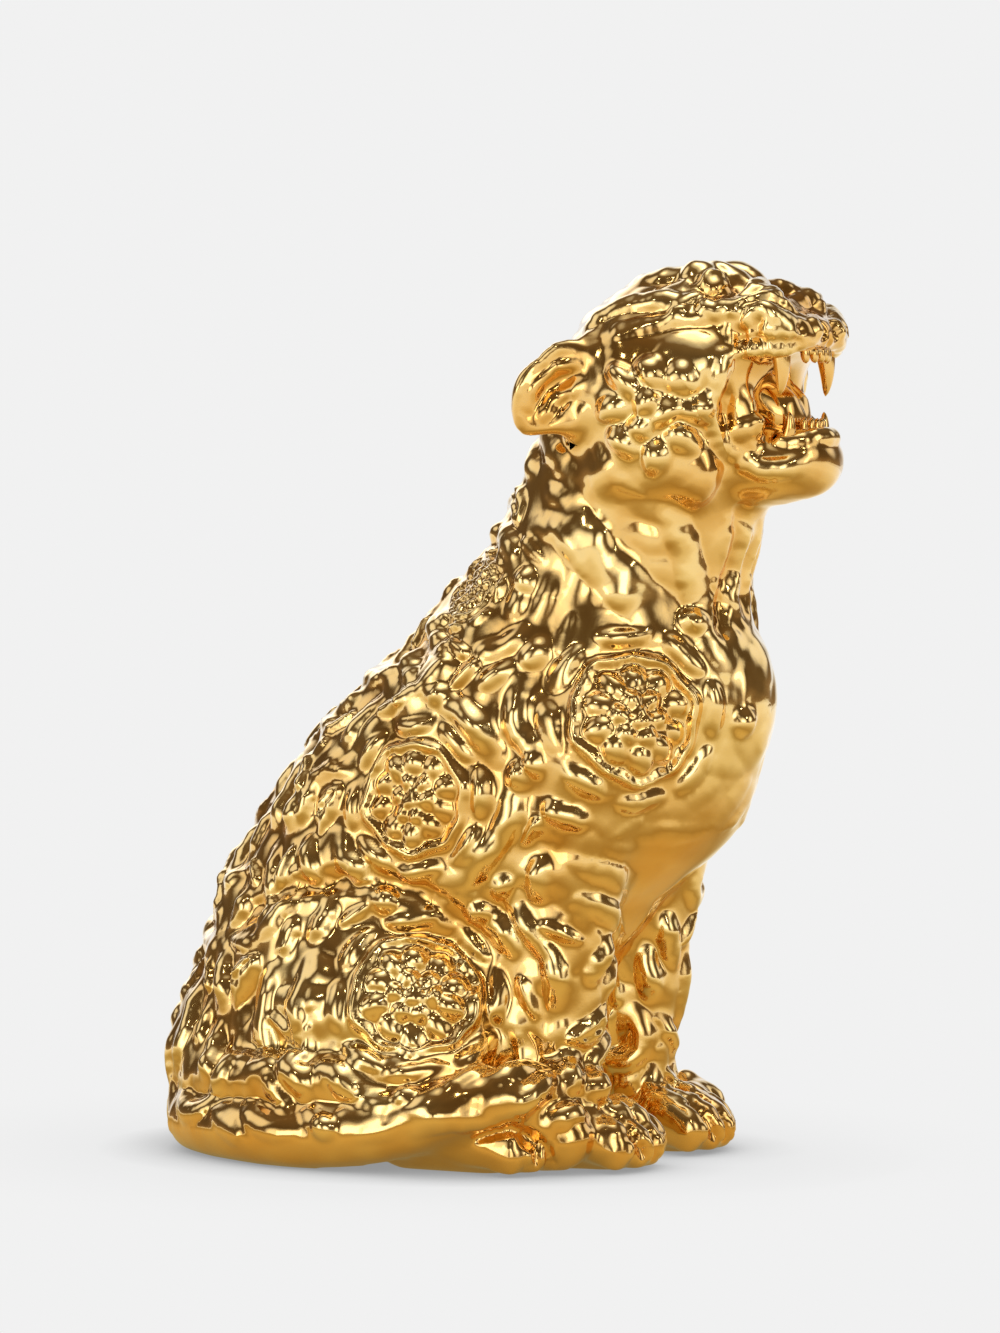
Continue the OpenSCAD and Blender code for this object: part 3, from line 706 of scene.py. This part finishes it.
def scrolls(skin, layout, frames):
    """Arcs round each roundel in rows, each with a bud at its end."""
    for reach, first, width, height in SCROLL_ROWS:
        for middle, axis, upward, radius in frames.values():
            across = np.cross(axis, upward)
            for start in 2 * np.pi * (np.arange(SCROLL_COUNT) + first) / SCROLL_COUNT:
                path = []
                for s in np.linspace(0, 1, SCROLL_POINTS):
                    turn, r = start + SCROLL_SWEEP * s, radius * (reach + 0.2 * s ** 2)
                    place = middle + r * (math.cos(turn) * upward + math.sin(turn) * across)
                    spot = skin.snapped([place])[0]
                    off = np.linalg.norm(skin.points[spot] - place)
                    tight = layout.clear[spot] < 0.5 * width
                    if layout.gain[spot] < SCROLL_LEAST or tight or off > SCROLL_OFF:
                        break
                    path.append(spot)
                if len(path) < SCROLL_FEWEST:
                    continue
                layout.lay(path, width, height, 0.5)
                end = path[-1]
                way = layout.flow(end, 0)
                skin.stamp(skin.points[end], skin.normals[end], way, SCROLL_BUD, pebble, height)
                layout.take(end, SCROLL_BUD)


def ribbons(layout):
    """Curling ribbons between the roundels."""
    for width, length, height in RIBBONS:
        for start in layout.free(1.5 * width):
            path = layout.ribbon(start, width, length)
            if len(path) >= RIBBON_FEWEST:
                layout.lay(path, width, height, 0.35)


# Motifs between them: size, kinds and height; and the room that each takes, in sizes
SCATTER = [(15, (leaf, shell), 5.0), (10.5, (leaf, bud), 4.4), (7, (bud,), 3.2)]
SCATTER_ROOM = 0.75


def scatter(skin, layout):
    """Leaves, shells and buds, the largest first."""
    for size, motifs, height in SCATTER:
        for i in layout.free(SCATTER_ROOM * size):
            motif = motifs[layout.rng.integers(len(motifs))]
            along = layout.flow(i, layout.rng.uniform(-0.8, 0.8))
            scale = size * layout.rng.uniform(0.95, 1.2)
            skin.stamp(skin.points[i], skin.normals[i], along, scale, motif, height * layout.gain[i])
            layout.take(i, SCATTER_ROOM * size)


# Cushions of the ground between the motifs: spacing and height
CUSHION, CUSHION_RISE = 6.5, 1.3


def cushions(skin, layout):
    """Soft cushions in the room that is left, which meet in creases."""
    seeds = []
    for i in layout.free(0.5 * CUSHION):
        seeds.append(i)
        layout.take(i, CUSHION)
    tree = tree_of(skin.points[seeds])
    reach = np.array([[found[2] for found in tree.find_n(p, 2)] for p in skin.points])
    swell = np.clip(1 - reach[:, 0] / reach[:, 1], 0, 1) ** 0.6 * (reach[:, 0] < 2 * CUSHION)
    skin.height = np.maximum(skin.height, CUSHION_RISE * swell * layout.gain)


# Flower on the cheek: middle in thousandths of the head's box, radius, height and lean forward
CHEEK = (500, 920, 440)
CHEEK_R, CHEEK_RISE, CHEEK_LEAN = 23, 6.2, 0.3


def cheek_flowers(skin):
    """A flower on each cheek."""
    u, v, w = CHEEK
    upward = np.array([0.0, 0.0, 1.0])
    for side in SIDES.values():
        spot = skin.snapped(in_box("head_shell", [(u, side * v, w)]))[0]
        axis = np.array([CHEEK_LEAN, side, 0.0]) / math.hypot(CHEEK_LEAN, 1)
        skin.stamp(skin.points[spot], axis, upward, CHEEK_R, cheek_flower, CHEEK_RISE)


# Height of the roundels' relief
RELIEF = 3.3

# Unevenness of the skin: height, shortest and longest wave; and its share where it is plain
SWELLS = [(1.0, 14, 26), (0.12, 7, 11)]
PLAIN_SWELL, SEED = 0.3, 11


def ornament(skin, marks, names):
    """Roundels, scrolls, ribbons, leaves between them, and cushions."""
    rng = np.random.default_rng(SEED)
    gain = ornament_gain(skin, marks, names)
    frames = roundel_frames()
    layout = Layout(skin, gain, frames, rng)
    for middle, axis, upward, radius in frames.values():
        skin.stamp(middle, axis, upward, radius, rosette, RELIEF)
    scrolls(skin, layout, frames)
    ribbons(layout)
    scatter(skin, layout)
    cushions(skin, layout)
    cheek_flowers(skin)
    swell = sum(height * ripple(skin.points, rng, short, long) for height, short, long in SWELLS)
    skin.height += swell * (PLAIN_SWELL + (1 - PLAIN_SWELL) * gain)
    skin.settle(rounds=3)
    return frames


# Pieces

def rim_edges(quads):
    """Open edges of a patch, each in the direction of its face."""
    known = set(map(tuple, sides_of(quads).tolist()))
    return np.array(sorted((a, b) for a, b in known if (b, a) not in known), int).reshape(-1, 2)


def rim_walls(points, inward, quads):
    """Foot points of walls in from a patch's open edges, and the walls."""
    rim = rim_edges(quads)
    ring, deep = np.unique(rim, return_inverse=True)
    deep = deep.reshape(-1, 2) + len(points)
    foot = points[ring] + inward[ring] * RIM_DEPTH
    foot += RIM_PULL * (points.mean(0) - foot)
    return foot, np.concatenate([rim[:, ::-1], deep], 1)


def lining(points, inward, quads):
    """Points and faces of a lining under a patch, joined at the edges."""
    rim = rim_edges(quads)
    walls = np.concatenate([rim[:, ::-1], rim + len(points)], 1)
    return points + inward * LINING_DEPTH, np.concatenate([walls, quads[:, ::-1] + len(points)])


def close_holes(mesh):
    """Fills every open edge loop of a mesh with triangles."""
    work = bmesh.new()
    work.from_mesh(mesh)
    open_edges = [e for e in work.edges if e.is_boundary]
    made = bmesh.ops.holes_fill(work, edges=open_edges, sides=0)
    bmesh.ops.triangulate(work, faces=made["faces"], quad_method="BEAUTY", ngon_method="BEAUTY")
    work.to_mesh(mesh)
    work.free()


def make_piece(name, mesh, material, *replaced):
    piece = add_object(name, mesh)
    mesh.materials.append(material)
    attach(piece, "root")
    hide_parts(*replaced)


def skin_piece(skin, inward, chosen, node, material):
    """One node's share of the skin, closed inside, with the skin's normals."""
    used, quads = np.unique(skin.quads[chosen], return_inverse=True)
    quads = quads.reshape(-1, 4)
    points, normals = skin.points[used], skin.normals[used]
    if node in LINED:
        inner, walls = lining(points, inward[used], quads)
    else:
        inner, walls = rim_walls(points, -normals, quads)
    mesh = mesh_of(node + "_skin", np.concatenate([points, inner]), quads, walls)
    # Relief height at each point, which the gold turns into a painted highlight on the tops and painted
    # shade in the hollows
    depth = mesh.attributes.new("relief", "FLOAT", "POINT")
    depth.data.foreach_set("value", np.concatenate([skin.relief[used], np.zeros(len(inner))]))
    close_holes(mesh)
    facing = np.concatenate([normals, np.tile([0.0, 0.0, 1.0], (len(inner), 1))])
    mesh.normals_split_custom_set_from_vertices(facing.tolist())
    make_piece(node + "_gilt", mesh, material, node)


def make_skin_pieces(material):
    skin, marks, names = cast_skin()
    sculpt(skin)
    frames = ornament(skin, marks, names)
    middles = skin.points[skin.quads].mean(1)
    for name, (middle, axis, _, radius) in frames.items():
        offset = middles - middle
        inside = (off_axis(offset, axis) < radius) & (np.abs(offset @ axis) < 0.6 * radius)
        marks[inside] = len(names)
        names.append(name)
    inward = -unit(relaxed(skin.normals, skin.edges, LINING_ROUNDS))
    for mark, name in enumerate(names):
        if name != "foot_plate":
            skin_piece(skin, inward, marks == mark, name, material)


# Teeth and tongue

def tube(path, radii, sides=18, flat=1.0):
    """Closed loft along a path: points, quads and triangles of its ends."""
    path, radii = np.asarray(path, float), np.asarray(radii, float)
    along = unit(np.gradient(path, axis=0))
    across = unit(np.cross(along, [0.0, 1.0, 0.05]))
    third = np.cross(along, across)
    turn = 2 * np.pi * np.arange(sides) / sides
    rings = [c + r * (np.outer(np.cos(turn), a) + flat * np.outer(np.sin(turn), b))
             for c, r, a, b in zip(path, radii, across, third)]
    points = np.concatenate([*rings, path[[0, -1]]])
    quads, fans, last = [], [], len(path) - 1
    for j in range(sides):
        k = (j + 1) % sides
        for i in range(last):
            quads.append((i * sides + j, i * sides + k, (i + 1) * sides + k, (i + 1) * sides + j))
        fans.append((len(points) - 2, k, j))
        fans.append((len(points) - 1, last * sides + j, last * sides + k))
    return points, np.array(quads), np.array(fans)


# Fang: share that is root, half width in the root's widths, bend in half widths, and grid
FANG_ROOT, FANG_HALF, FANG_BEND, FANG_RINGS, FANG_SIDES = 0.3, 0.6, 0.55, 18, 20


def fang(node, sign):
    """Curved fang from root to tip; sign is -1 where it points down."""
    points = node_points(node)
    low, high = points.min(0), points.max(0)
    rise = points[:, 2] * sign
    tip = points[np.argmax(rise)]
    base = points[rise < rise.min() + FANG_ROOT * (high[2] - low[2])]
    root = base.mean(0)
    root[2] = low[2] if sign > 0 else high[2]
    radius = FANG_HALF * min(*(base.max(0) - base.min(0))[:2])
    t = np.linspace(0, 1, FANG_RINGS)[:, None]
    bulge = (root + tip) / 2 + np.array([radius * FANG_BEND, 0, 0])
    path = (1 - t) ** 2 * root + 2 * t * (1 - t) * bulge + t ** 2 * tip
    radii = radius * np.sqrt(np.clip(1 - t[:, 0] ** 1.7, 0.004, 1)) * (1 - 0.25 * t[:, 0])
    return tube(path, radii, FANG_SIDES, 0.92)


# Incisors: count, rings and sides of each, depth of their arc, points of the gum
INCISORS, PEG_RINGS, PEG_SIDES, INCISOR_ARC, GUM_POINTS = 6, 10, 14, 0.25, 21


def incisor_row(node, sign):
    """Row of rounded pegs along an arc on a gum."""
    points = node_points(node)
    low, high = points.min(0), points.max(0)
    half = (high[1] - low[1]) / 2
    rise = high[2] - low[2]
    root = low[2] if sign > 0 else high[2]
    front = high[0] - 0.5 * rise
    t = np.linspace(0, 1, PEG_RINGS)
    radii = half / INCISORS * 0.98 * np.sqrt(np.clip(1 - t ** 3, 0.01, 1))
    pegs = []
    for turn in np.linspace(-1, 1, INCISORS):
        place = np.array([front - INCISOR_ARC * half * turn ** 2, turn * half * 0.84, root])
        path = place + np.outer(t, [0.1 * rise, 0, sign * rise * (0.92 + 0.08 * abs(turn))])
        pegs.append(tube(path, radii, PEG_SIDES, 0.8))
    arc = np.linspace(-1.02, 1.02, GUM_POINTS)
    level = np.full(GUM_POINTS, root + sign * 0.12 * rise)
    gum = np.stack([front - INCISOR_ARC * half * arc ** 2, arc * half * 0.9, level], 1)
    pegs.append(tube(gum, 0.28 * rise * np.sqrt(np.clip(1.05 - arc ** 6, 0.1, 1)), PEG_SIDES))
    return stacked(pegs)


# Tongue: line from the node's back end and top, tip from its front end and top, and grid
TONGUE_LINE, TONGUE_TIP = [(0, 8), (13, 9), (24, 4), (34, -3)], (-2, -5)
TONGUE_RINGS, TONGUE_SIDES = 40, 32


def tongue_loft(node):
    """Broad, arched tongue with a groove."""
    low, high = node_box(node)
    arch = [(low[0] + x, high[2] + z) for x, z in TONGUE_LINE]
    arch.append((high[0] + TONGUE_TIP[0], high[2] + TONGUE_TIP[1]))
    line = curve_through(arch, TONGUE_RINGS)
    path = np.stack([line[:, 0], 0 * line[:, 0], line[:, 1]], 1)
    t = np.linspace(0, 1, TONGUE_RINGS)
    half = (high[1] - low[1]) / 2 * 1.25
    radii = half * np.sqrt(np.clip(1 - t ** 5, 0.01, 1)) * (1.1 - 0.25 * t)
    points, quads, fans = tube(path, 0.85 * radii, TONGUE_SIDES, 1.2)
    middle = np.repeat(path, TONGUE_SIDES, axis=0)
    body = points[:len(middle)]
    out = body - middle
    groove = np.exp(-((out[:, 1] / (0.2 * half)) ** 2)) * (out[:, 0] + out[:, 2] > 0)
    body -= 0.3 * groove[:, None] * out
    return points, quads, fans


def make_mouth(material):
    """Fangs, incisors and tongue."""
    lofts = {"tongue": tongue_loft("tongue")}
    for level, sign in (("upper", -1), ("lower", 1)):
        lofts[f"{level}_incisors"] = incisor_row(f"{level}_incisors", sign)
        for side in SIDES:
            node = f"{side}_{level}_canine"
            lofts[node] = fang(node, sign)
    for node, (points, quads, fans) in lofts.items():
        make_piece(node + "_gilt", mesh_of(node + "_loft", points, quads, fans), material, node)


# Studio

def make_camera():
    data = bpy.data.cameras.new("camera")
    data.sensor_fit = "HORIZONTAL"
    data.sensor_width = SENSOR
    data.lens = SENSOR * CAMERA_DISTANCE / VIEW_WIDTH
    camera = add_object("camera", data)
    level = math.cos(CAMERA_RISE)
    back = Vector((math.sin(CAMERA_TURN) * level, -math.cos(CAMERA_TURN) * level, math.sin(CAMERA_RISE)))
    camera.location = AIM + back * CAMERA_DISTANCE
    camera.rotation_euler = (-back).to_track_quat("-Z", "Y").to_euler()
    bpy.context.scene.camera = camera


def add_nodes(tree, **kinds):
    """New shader nodes by name in place of the old ones."""
    tree.nodes.clear()
    return {name: tree.nodes.new("ShaderNode" + kind) for name, kind in kinds.items()}
def wire(tree, nodes, links):
    """Links: a node, its outlet, the next node and its inlet."""
    for source, outlet, target, inlet in links:
        tree.links.new(nodes[source].outputs[outlet], nodes[target].inputs[inlet])


def set_inputs(nodes, **inputs):
    """Values of the inputs of named nodes."""
    for node, values in inputs.items():
        for name, value in values.items():
            nodes[node].inputs[name].default_value = value


def set_ramp(node, stops):
    """Colours of a ramp at the given positions."""
    elements = node.color_ramp.elements
    for position, colour in stops:
        elements.new(position).color = (*colour, 1)
    elements.remove(elements[0])

def from_camera(right, up, ahead):
    """Direction given in the camera's frame, with ahead towards the camera."""
    turn = CAMERA_TURN
    return Vector((right * math.cos(turn) + ahead * math.sin(turn),
                   right * math.sin(turn) - ahead * math.cos(turn), up)).normalized()


# Soft lights round the object: direction in the camera's frame, half angle and strength
GLOWS = {
    "front": ((-0.02, 0.16, 0.95), 26, 1.3),
    "left": ((-0.80, 0.10, 0.58), 28, 1.3),
    "right": ((0.76, 0.30, 0.50), 24, 1.0),
    "far_left": ((-0.89, 0.60, -0.15), 22, 0.9),
    "top": ((0.03, 1.0, -0.05), 24, 1.0),
    "back_left": ((-0.36, 0.43, -0.83), 22, 0.9),
    "back_right": ((0.79, 0.41, -0.45), 22, 0.9),
}


def add_glows(tree, direction):
    """Socket with the sum of the soft lights."""
    link = tree.links.new
    total = None
    for way, edge, strength in GLOWS.values():
        toward = tree.nodes.new("ShaderNodeVectorMath")
        toward.operation = "DOT_PRODUCT"
        toward.inputs[1].default_value = from_camera(*way)
        glow = tree.nodes.new("ShaderNodeMapRange")
        glow.interpolation_type = "SMOOTHERSTEP"
        glow.inputs["From Min"].default_value = math.cos(math.radians(edge))
        glow.inputs["To Max"].default_value = strength
        link(direction, toward.inputs[0])
        link(toward.outputs["Value"], glow.inputs["Value"])
        both = tree.nodes.new("ShaderNodeMath")
        both.inputs[0].default_value = 0
        link(glow.outputs[0], both.inputs[1])
        if total:
            link(total, both.inputs[0])
        total = both.outputs[0]
    return total


# Room round the gold: greys from below to above, their hue, the backdrop's height and edge
ROOM_GREYS = [(0.0, 0.26), (0.12, 0.14), (0.35, 0.10), (0.6, 0.11), (0.85, 0.17), (1.0, 0.26)]
ROOM_HUE = (1, 0.67, 0.36)
BACKDROP_RISE, BACKDROP_EDGE = 0.12, {"From Min": 0.78, "From Max": 0.95}


def make_world():
    """Pale to the camera; to the gold, a dim room with soft lights and a pale backdrop."""
    world = bpy.data.worlds.new("studio")
    bpy.context.scene.world = world
    world.use_nodes = True
    tree = world.node_tree
    n = add_nodes(tree, place="TexCoord", split="SeparateXYZ", ramp="ValToRGB", toward="VectorMath",
                  fade="MapRange", both="Mix", lit="VectorMath", room="Background", seen="Background",
                  ray="LightPath", mix="MixShader", out="OutputWorld")
    set_ramp(n["ramp"], [(position, [grey * h for h in ROOM_HUE]) for position, grey in ROOM_GREYS])
    n["toward"].operation = "DOT_PRODUCT"
    n["both"].data_type = "RGBA"
    away = (-math.sin(CAMERA_TURN), math.cos(CAMERA_TURN), BACKDROP_RISE)
    set_inputs(n, toward={1: away}, fade=BACKDROP_EDGE, both={7: PALE_COLOUR}, seen={0: PALE_COLOUR})
    wire(tree, n, [
        ("place", "Generated", "split", 0), ("place", "Generated", "toward", 0),
        ("split", "Z", "ramp", "Fac"), ("toward", "Value", "fade", "Value"),
        ("fade", 0, "both", "Factor"), ("ramp", "Color", "both", 6), ("both", 2, "lit", 0),
        ("lit", 0, "room", "Color"), ("ray", "Is Camera Ray", "mix", "Fac"), ("room", 0, "mix", 1),
        ("seen", 0, "mix", 2), ("mix", 0, "out", "Surface"),
    ])
    tree.links.new(add_glows(tree, n["place"].outputs["Generated"]), n["lit"].inputs[1])


# Floor: half width, reach of its change, and its tones in the gold from the middle out: painted shade with
# a painted warm reflection of the gold near the object, pale further out, and dimmer far off as painted
# falloff of the light
FLOOR_HALF, FLOOR_REACH = 6.0, 3.0
FLOOR_PAINTED_LIGHT_AND_SHADE = [
    (0.0, (0.78, 0.56, 0.20)), (0.045, (0.72, 0.51, 0.19)), (0.075, (0.44, 0.30, 0.10)),
    (0.11, (0.56, 0.43, 0.20)), (0.16, (0.80, 0.68, 0.44)), (0.35, (1.0, 0.94, 0.82)),
    (1.0, (0.85, 0.8, 0.72)),
]

# Contact shadows: reach and darkest value
SHADOWS = [(0.14, 0.75), (0.03, 0.45)]


def make_floor():
    """Pale floor with a contact shadow; in the gold its tone changes with distance, as painted shade and a
    painted gold reflection near the object.
    """
    floor = add_object("floor", bpy.data.meshes.new("floor"))
    corners = [(x * FLOOR_HALF, y * FLOOR_HALF, 0) for x, y in ((-1, -1), (1, -1), (1, 1), (-1, 1))]
    floor.data.from_pydata(corners, [], [(0, 1, 2, 3)])
    material = bpy.data.materials.new("pale_floor")
    material.use_nodes = True
    tree = material.node_tree
    n = add_nodes(tree, emit="Emission", out="OutputMaterial", shade="Math", where="NewGeometry",
                  away="VectorMath", near="MapRange", fade="ValToRGB", ray="LightPath", hue="Mix")
    n["hue"].data_type = "RGBA"
    n["shade"].operation = "MULTIPLY"
    n["away"].operation = "LENGTH"
    set_inputs(n, hue={7: PALE_COLOUR}, near={"From Max": FLOOR_REACH})
    # Tones that only the gold sees: painted shade and painted reflected gold near the object, pale further
    # out, dimmer far off
    set_ramp(n["fade"], FLOOR_PAINTED_LIGHT_AND_SHADE)
    for socket, (reach, dark) in enumerate(SHADOWS):
        open_sky = tree.nodes.new("ShaderNodeAmbientOcclusion")
        open_sky.inputs["Distance"].default_value = reach
        open_sky.samples = 8
        soften = tree.nodes.new("ShaderNodeMapRange")
        soften.inputs["To Min"].default_value = dark
        tree.links.new(open_sky.outputs["AO"], soften.inputs["Value"])
        tree.links.new(soften.outputs[0], n["shade"].inputs[socket])
    wire(tree, n, [
        ("where", "Position", "away", 0), ("away", "Value", "near", "Value"), ("near", 0, "fade", "Fac"),
        ("fade", "Color", "hue", 6), ("ray", "Is Camera Ray", "hue", "Factor"),
        ("hue", 2, "emit", "Color"), ("shade", 0, "emit", "Strength"), ("emit", 0, "out", "Surface"),
    ])
    floor.data.materials.append(material)


def make_lamp(name, place, size, radiance):
    """Soft box that faces the object; radiance 1 shows as white in a mirror."""
    data = bpy.data.lights.new(name, "AREA")
    data.shape = "RECTANGLE"
    data.size, data.size_y = size
    data.energy = radiance * math.pi * size[0] * size[1]
    lamp = add_object(name, data)
    lamp.location = place
    lamp.rotation_euler = (AIM - place).to_track_quat("-Z", "Y").to_euler()


# Lamps: distance; soft boxes' sizes and radiance; small ones' directions, size and radiance
LAMP_DISTANCE = 2.0
SOFT_BOXES = {"front": (0.8, 0.5), "left": (0.4, 0.8), "right": (0.35, 0.7), "top": (0.7, 0.5)}
SOFT_RADIANCE = 1.2
SPARKLES = {"sparkle_left": (-0.55, 0.64, 0.53), "sparkle_right": (0.41, 0.53, 0.75)}
SPARKLE_SIZE, SPARKLE_RADIANCE = (0.16, 0.16), 9.0


def make_lamps():
    """Soft boxes in the soft lights, and small ones for sparkle."""
    for name, size in SOFT_BOXES.items():
        make_lamp(name, AIM + LAMP_DISTANCE * from_camera(*GLOWS[name][0]), size, SOFT_RADIANCE)
    for name, way in SPARKLES.items():
        make_lamp(name, AIM + LAMP_DISTANCE * from_camera(*way), SPARKLE_SIZE, SPARKLE_RADIANCE)


# Materials

def new_material(name, scale, strength, distance, low, high, **kinds):
    """Material with a colour ramp, a fine grain and more nodes by name."""
    material = bpy.data.materials.new(name)
    material.use_nodes = True
    n = add_nodes(material.node_tree, place="TexCoord", shader="BsdfPrincipled", out="OutputMaterial",
                  tone="ValToRGB", grain="TexNoise", bump="Bump", **kinds)
    set_inputs(n, grain={"Scale": scale}, bump={"Strength": strength, "Distance": distance})
    for stop, (position, colour) in zip(n["tone"].color_ramp.elements, (low, high)):
        stop.position, stop.color = position, (*colour, 1)
    wire(material.node_tree, n, [
        ("place", "Object", "grain", "Vector"), ("grain", "Fac", "bump", "Height"),
        ("bump", "Normal", "shader", "Normal"), ("tone", "Color", "shader", "Base Color"),
        ("shader", 0, "out", "Surface"),
    ])
    return material, n


def gold_lustre():
    """Mirror gold, paler on the tops of the relief as a painted highlight and deeper in the hollows as
    painted shade.
    """
    # Ramp from deep gold, painted shade in the hollows, to pale gold, a painted highlight on the tops of
    # the relief
    material, n = new_material("gold_lustre", 260, 0.08, 0.0006,
                               (0.15, (0.80, 0.44, 0.08)), (0.85, (0.94, 0.68, 0.26)),
                               cloud="TexNoise", depth="Attribute", raised="MapRange", both="Math",
                               rough="MapRange")
    n["depth"].attribute_name = "relief"
    set_inputs(n, shader={"Metallic": 1.0, "Coat Weight": 1.0, "Coat IOR": 1.6},
               cloud={"Scale": 38, "Detail": 4}, rough={"To Min": 0.06, "To Max": 0.16},
               raised={"From Min": -2.0, "From Max": 3.5, "To Min": -0.35, "To Max": 0.35})
    # A random cloud and the relief height set the tone; the height paints highlight on the tops and shade
    # in the hollows
    wire(material.node_tree, n, [
        ("place", "Object", "cloud", "Vector"), ("depth", "Fac", "raised", "Value"),
        ("cloud", "Fac", "both", 0), ("raised", 0, "both", 1), ("both", 0, "tone", "Fac"),
        ("cloud", "Fac", "rough", "Value"), ("rough", 0, "shader", "Roughness"),
    ])
    return material


def bisque():
    """Unglazed porcelain with a fine grain."""
    material, n = new_material("bisque", 420, 0.2, 0.0004,
                               (0, (0.72, 0.68, 0.60)), (1, (0.86, 0.83, 0.77)))
    set_inputs(n, shader={"Roughness": 0.85})
    wire(material.node_tree, n, [("grain", "Fac", "tone", "Fac")])
    return material


GOLD = gold_lustre()
make_skin_pieces(GOLD)
make_mouth(GOLD)
foot_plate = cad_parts["foot_plate"].data
foot_plate.materials.clear()
foot_plate.materials.append(bisque())

bpy.context.scene.view_settings.view_transform = "Standard"
make_camera()
make_world()
make_floor()
make_lamps()
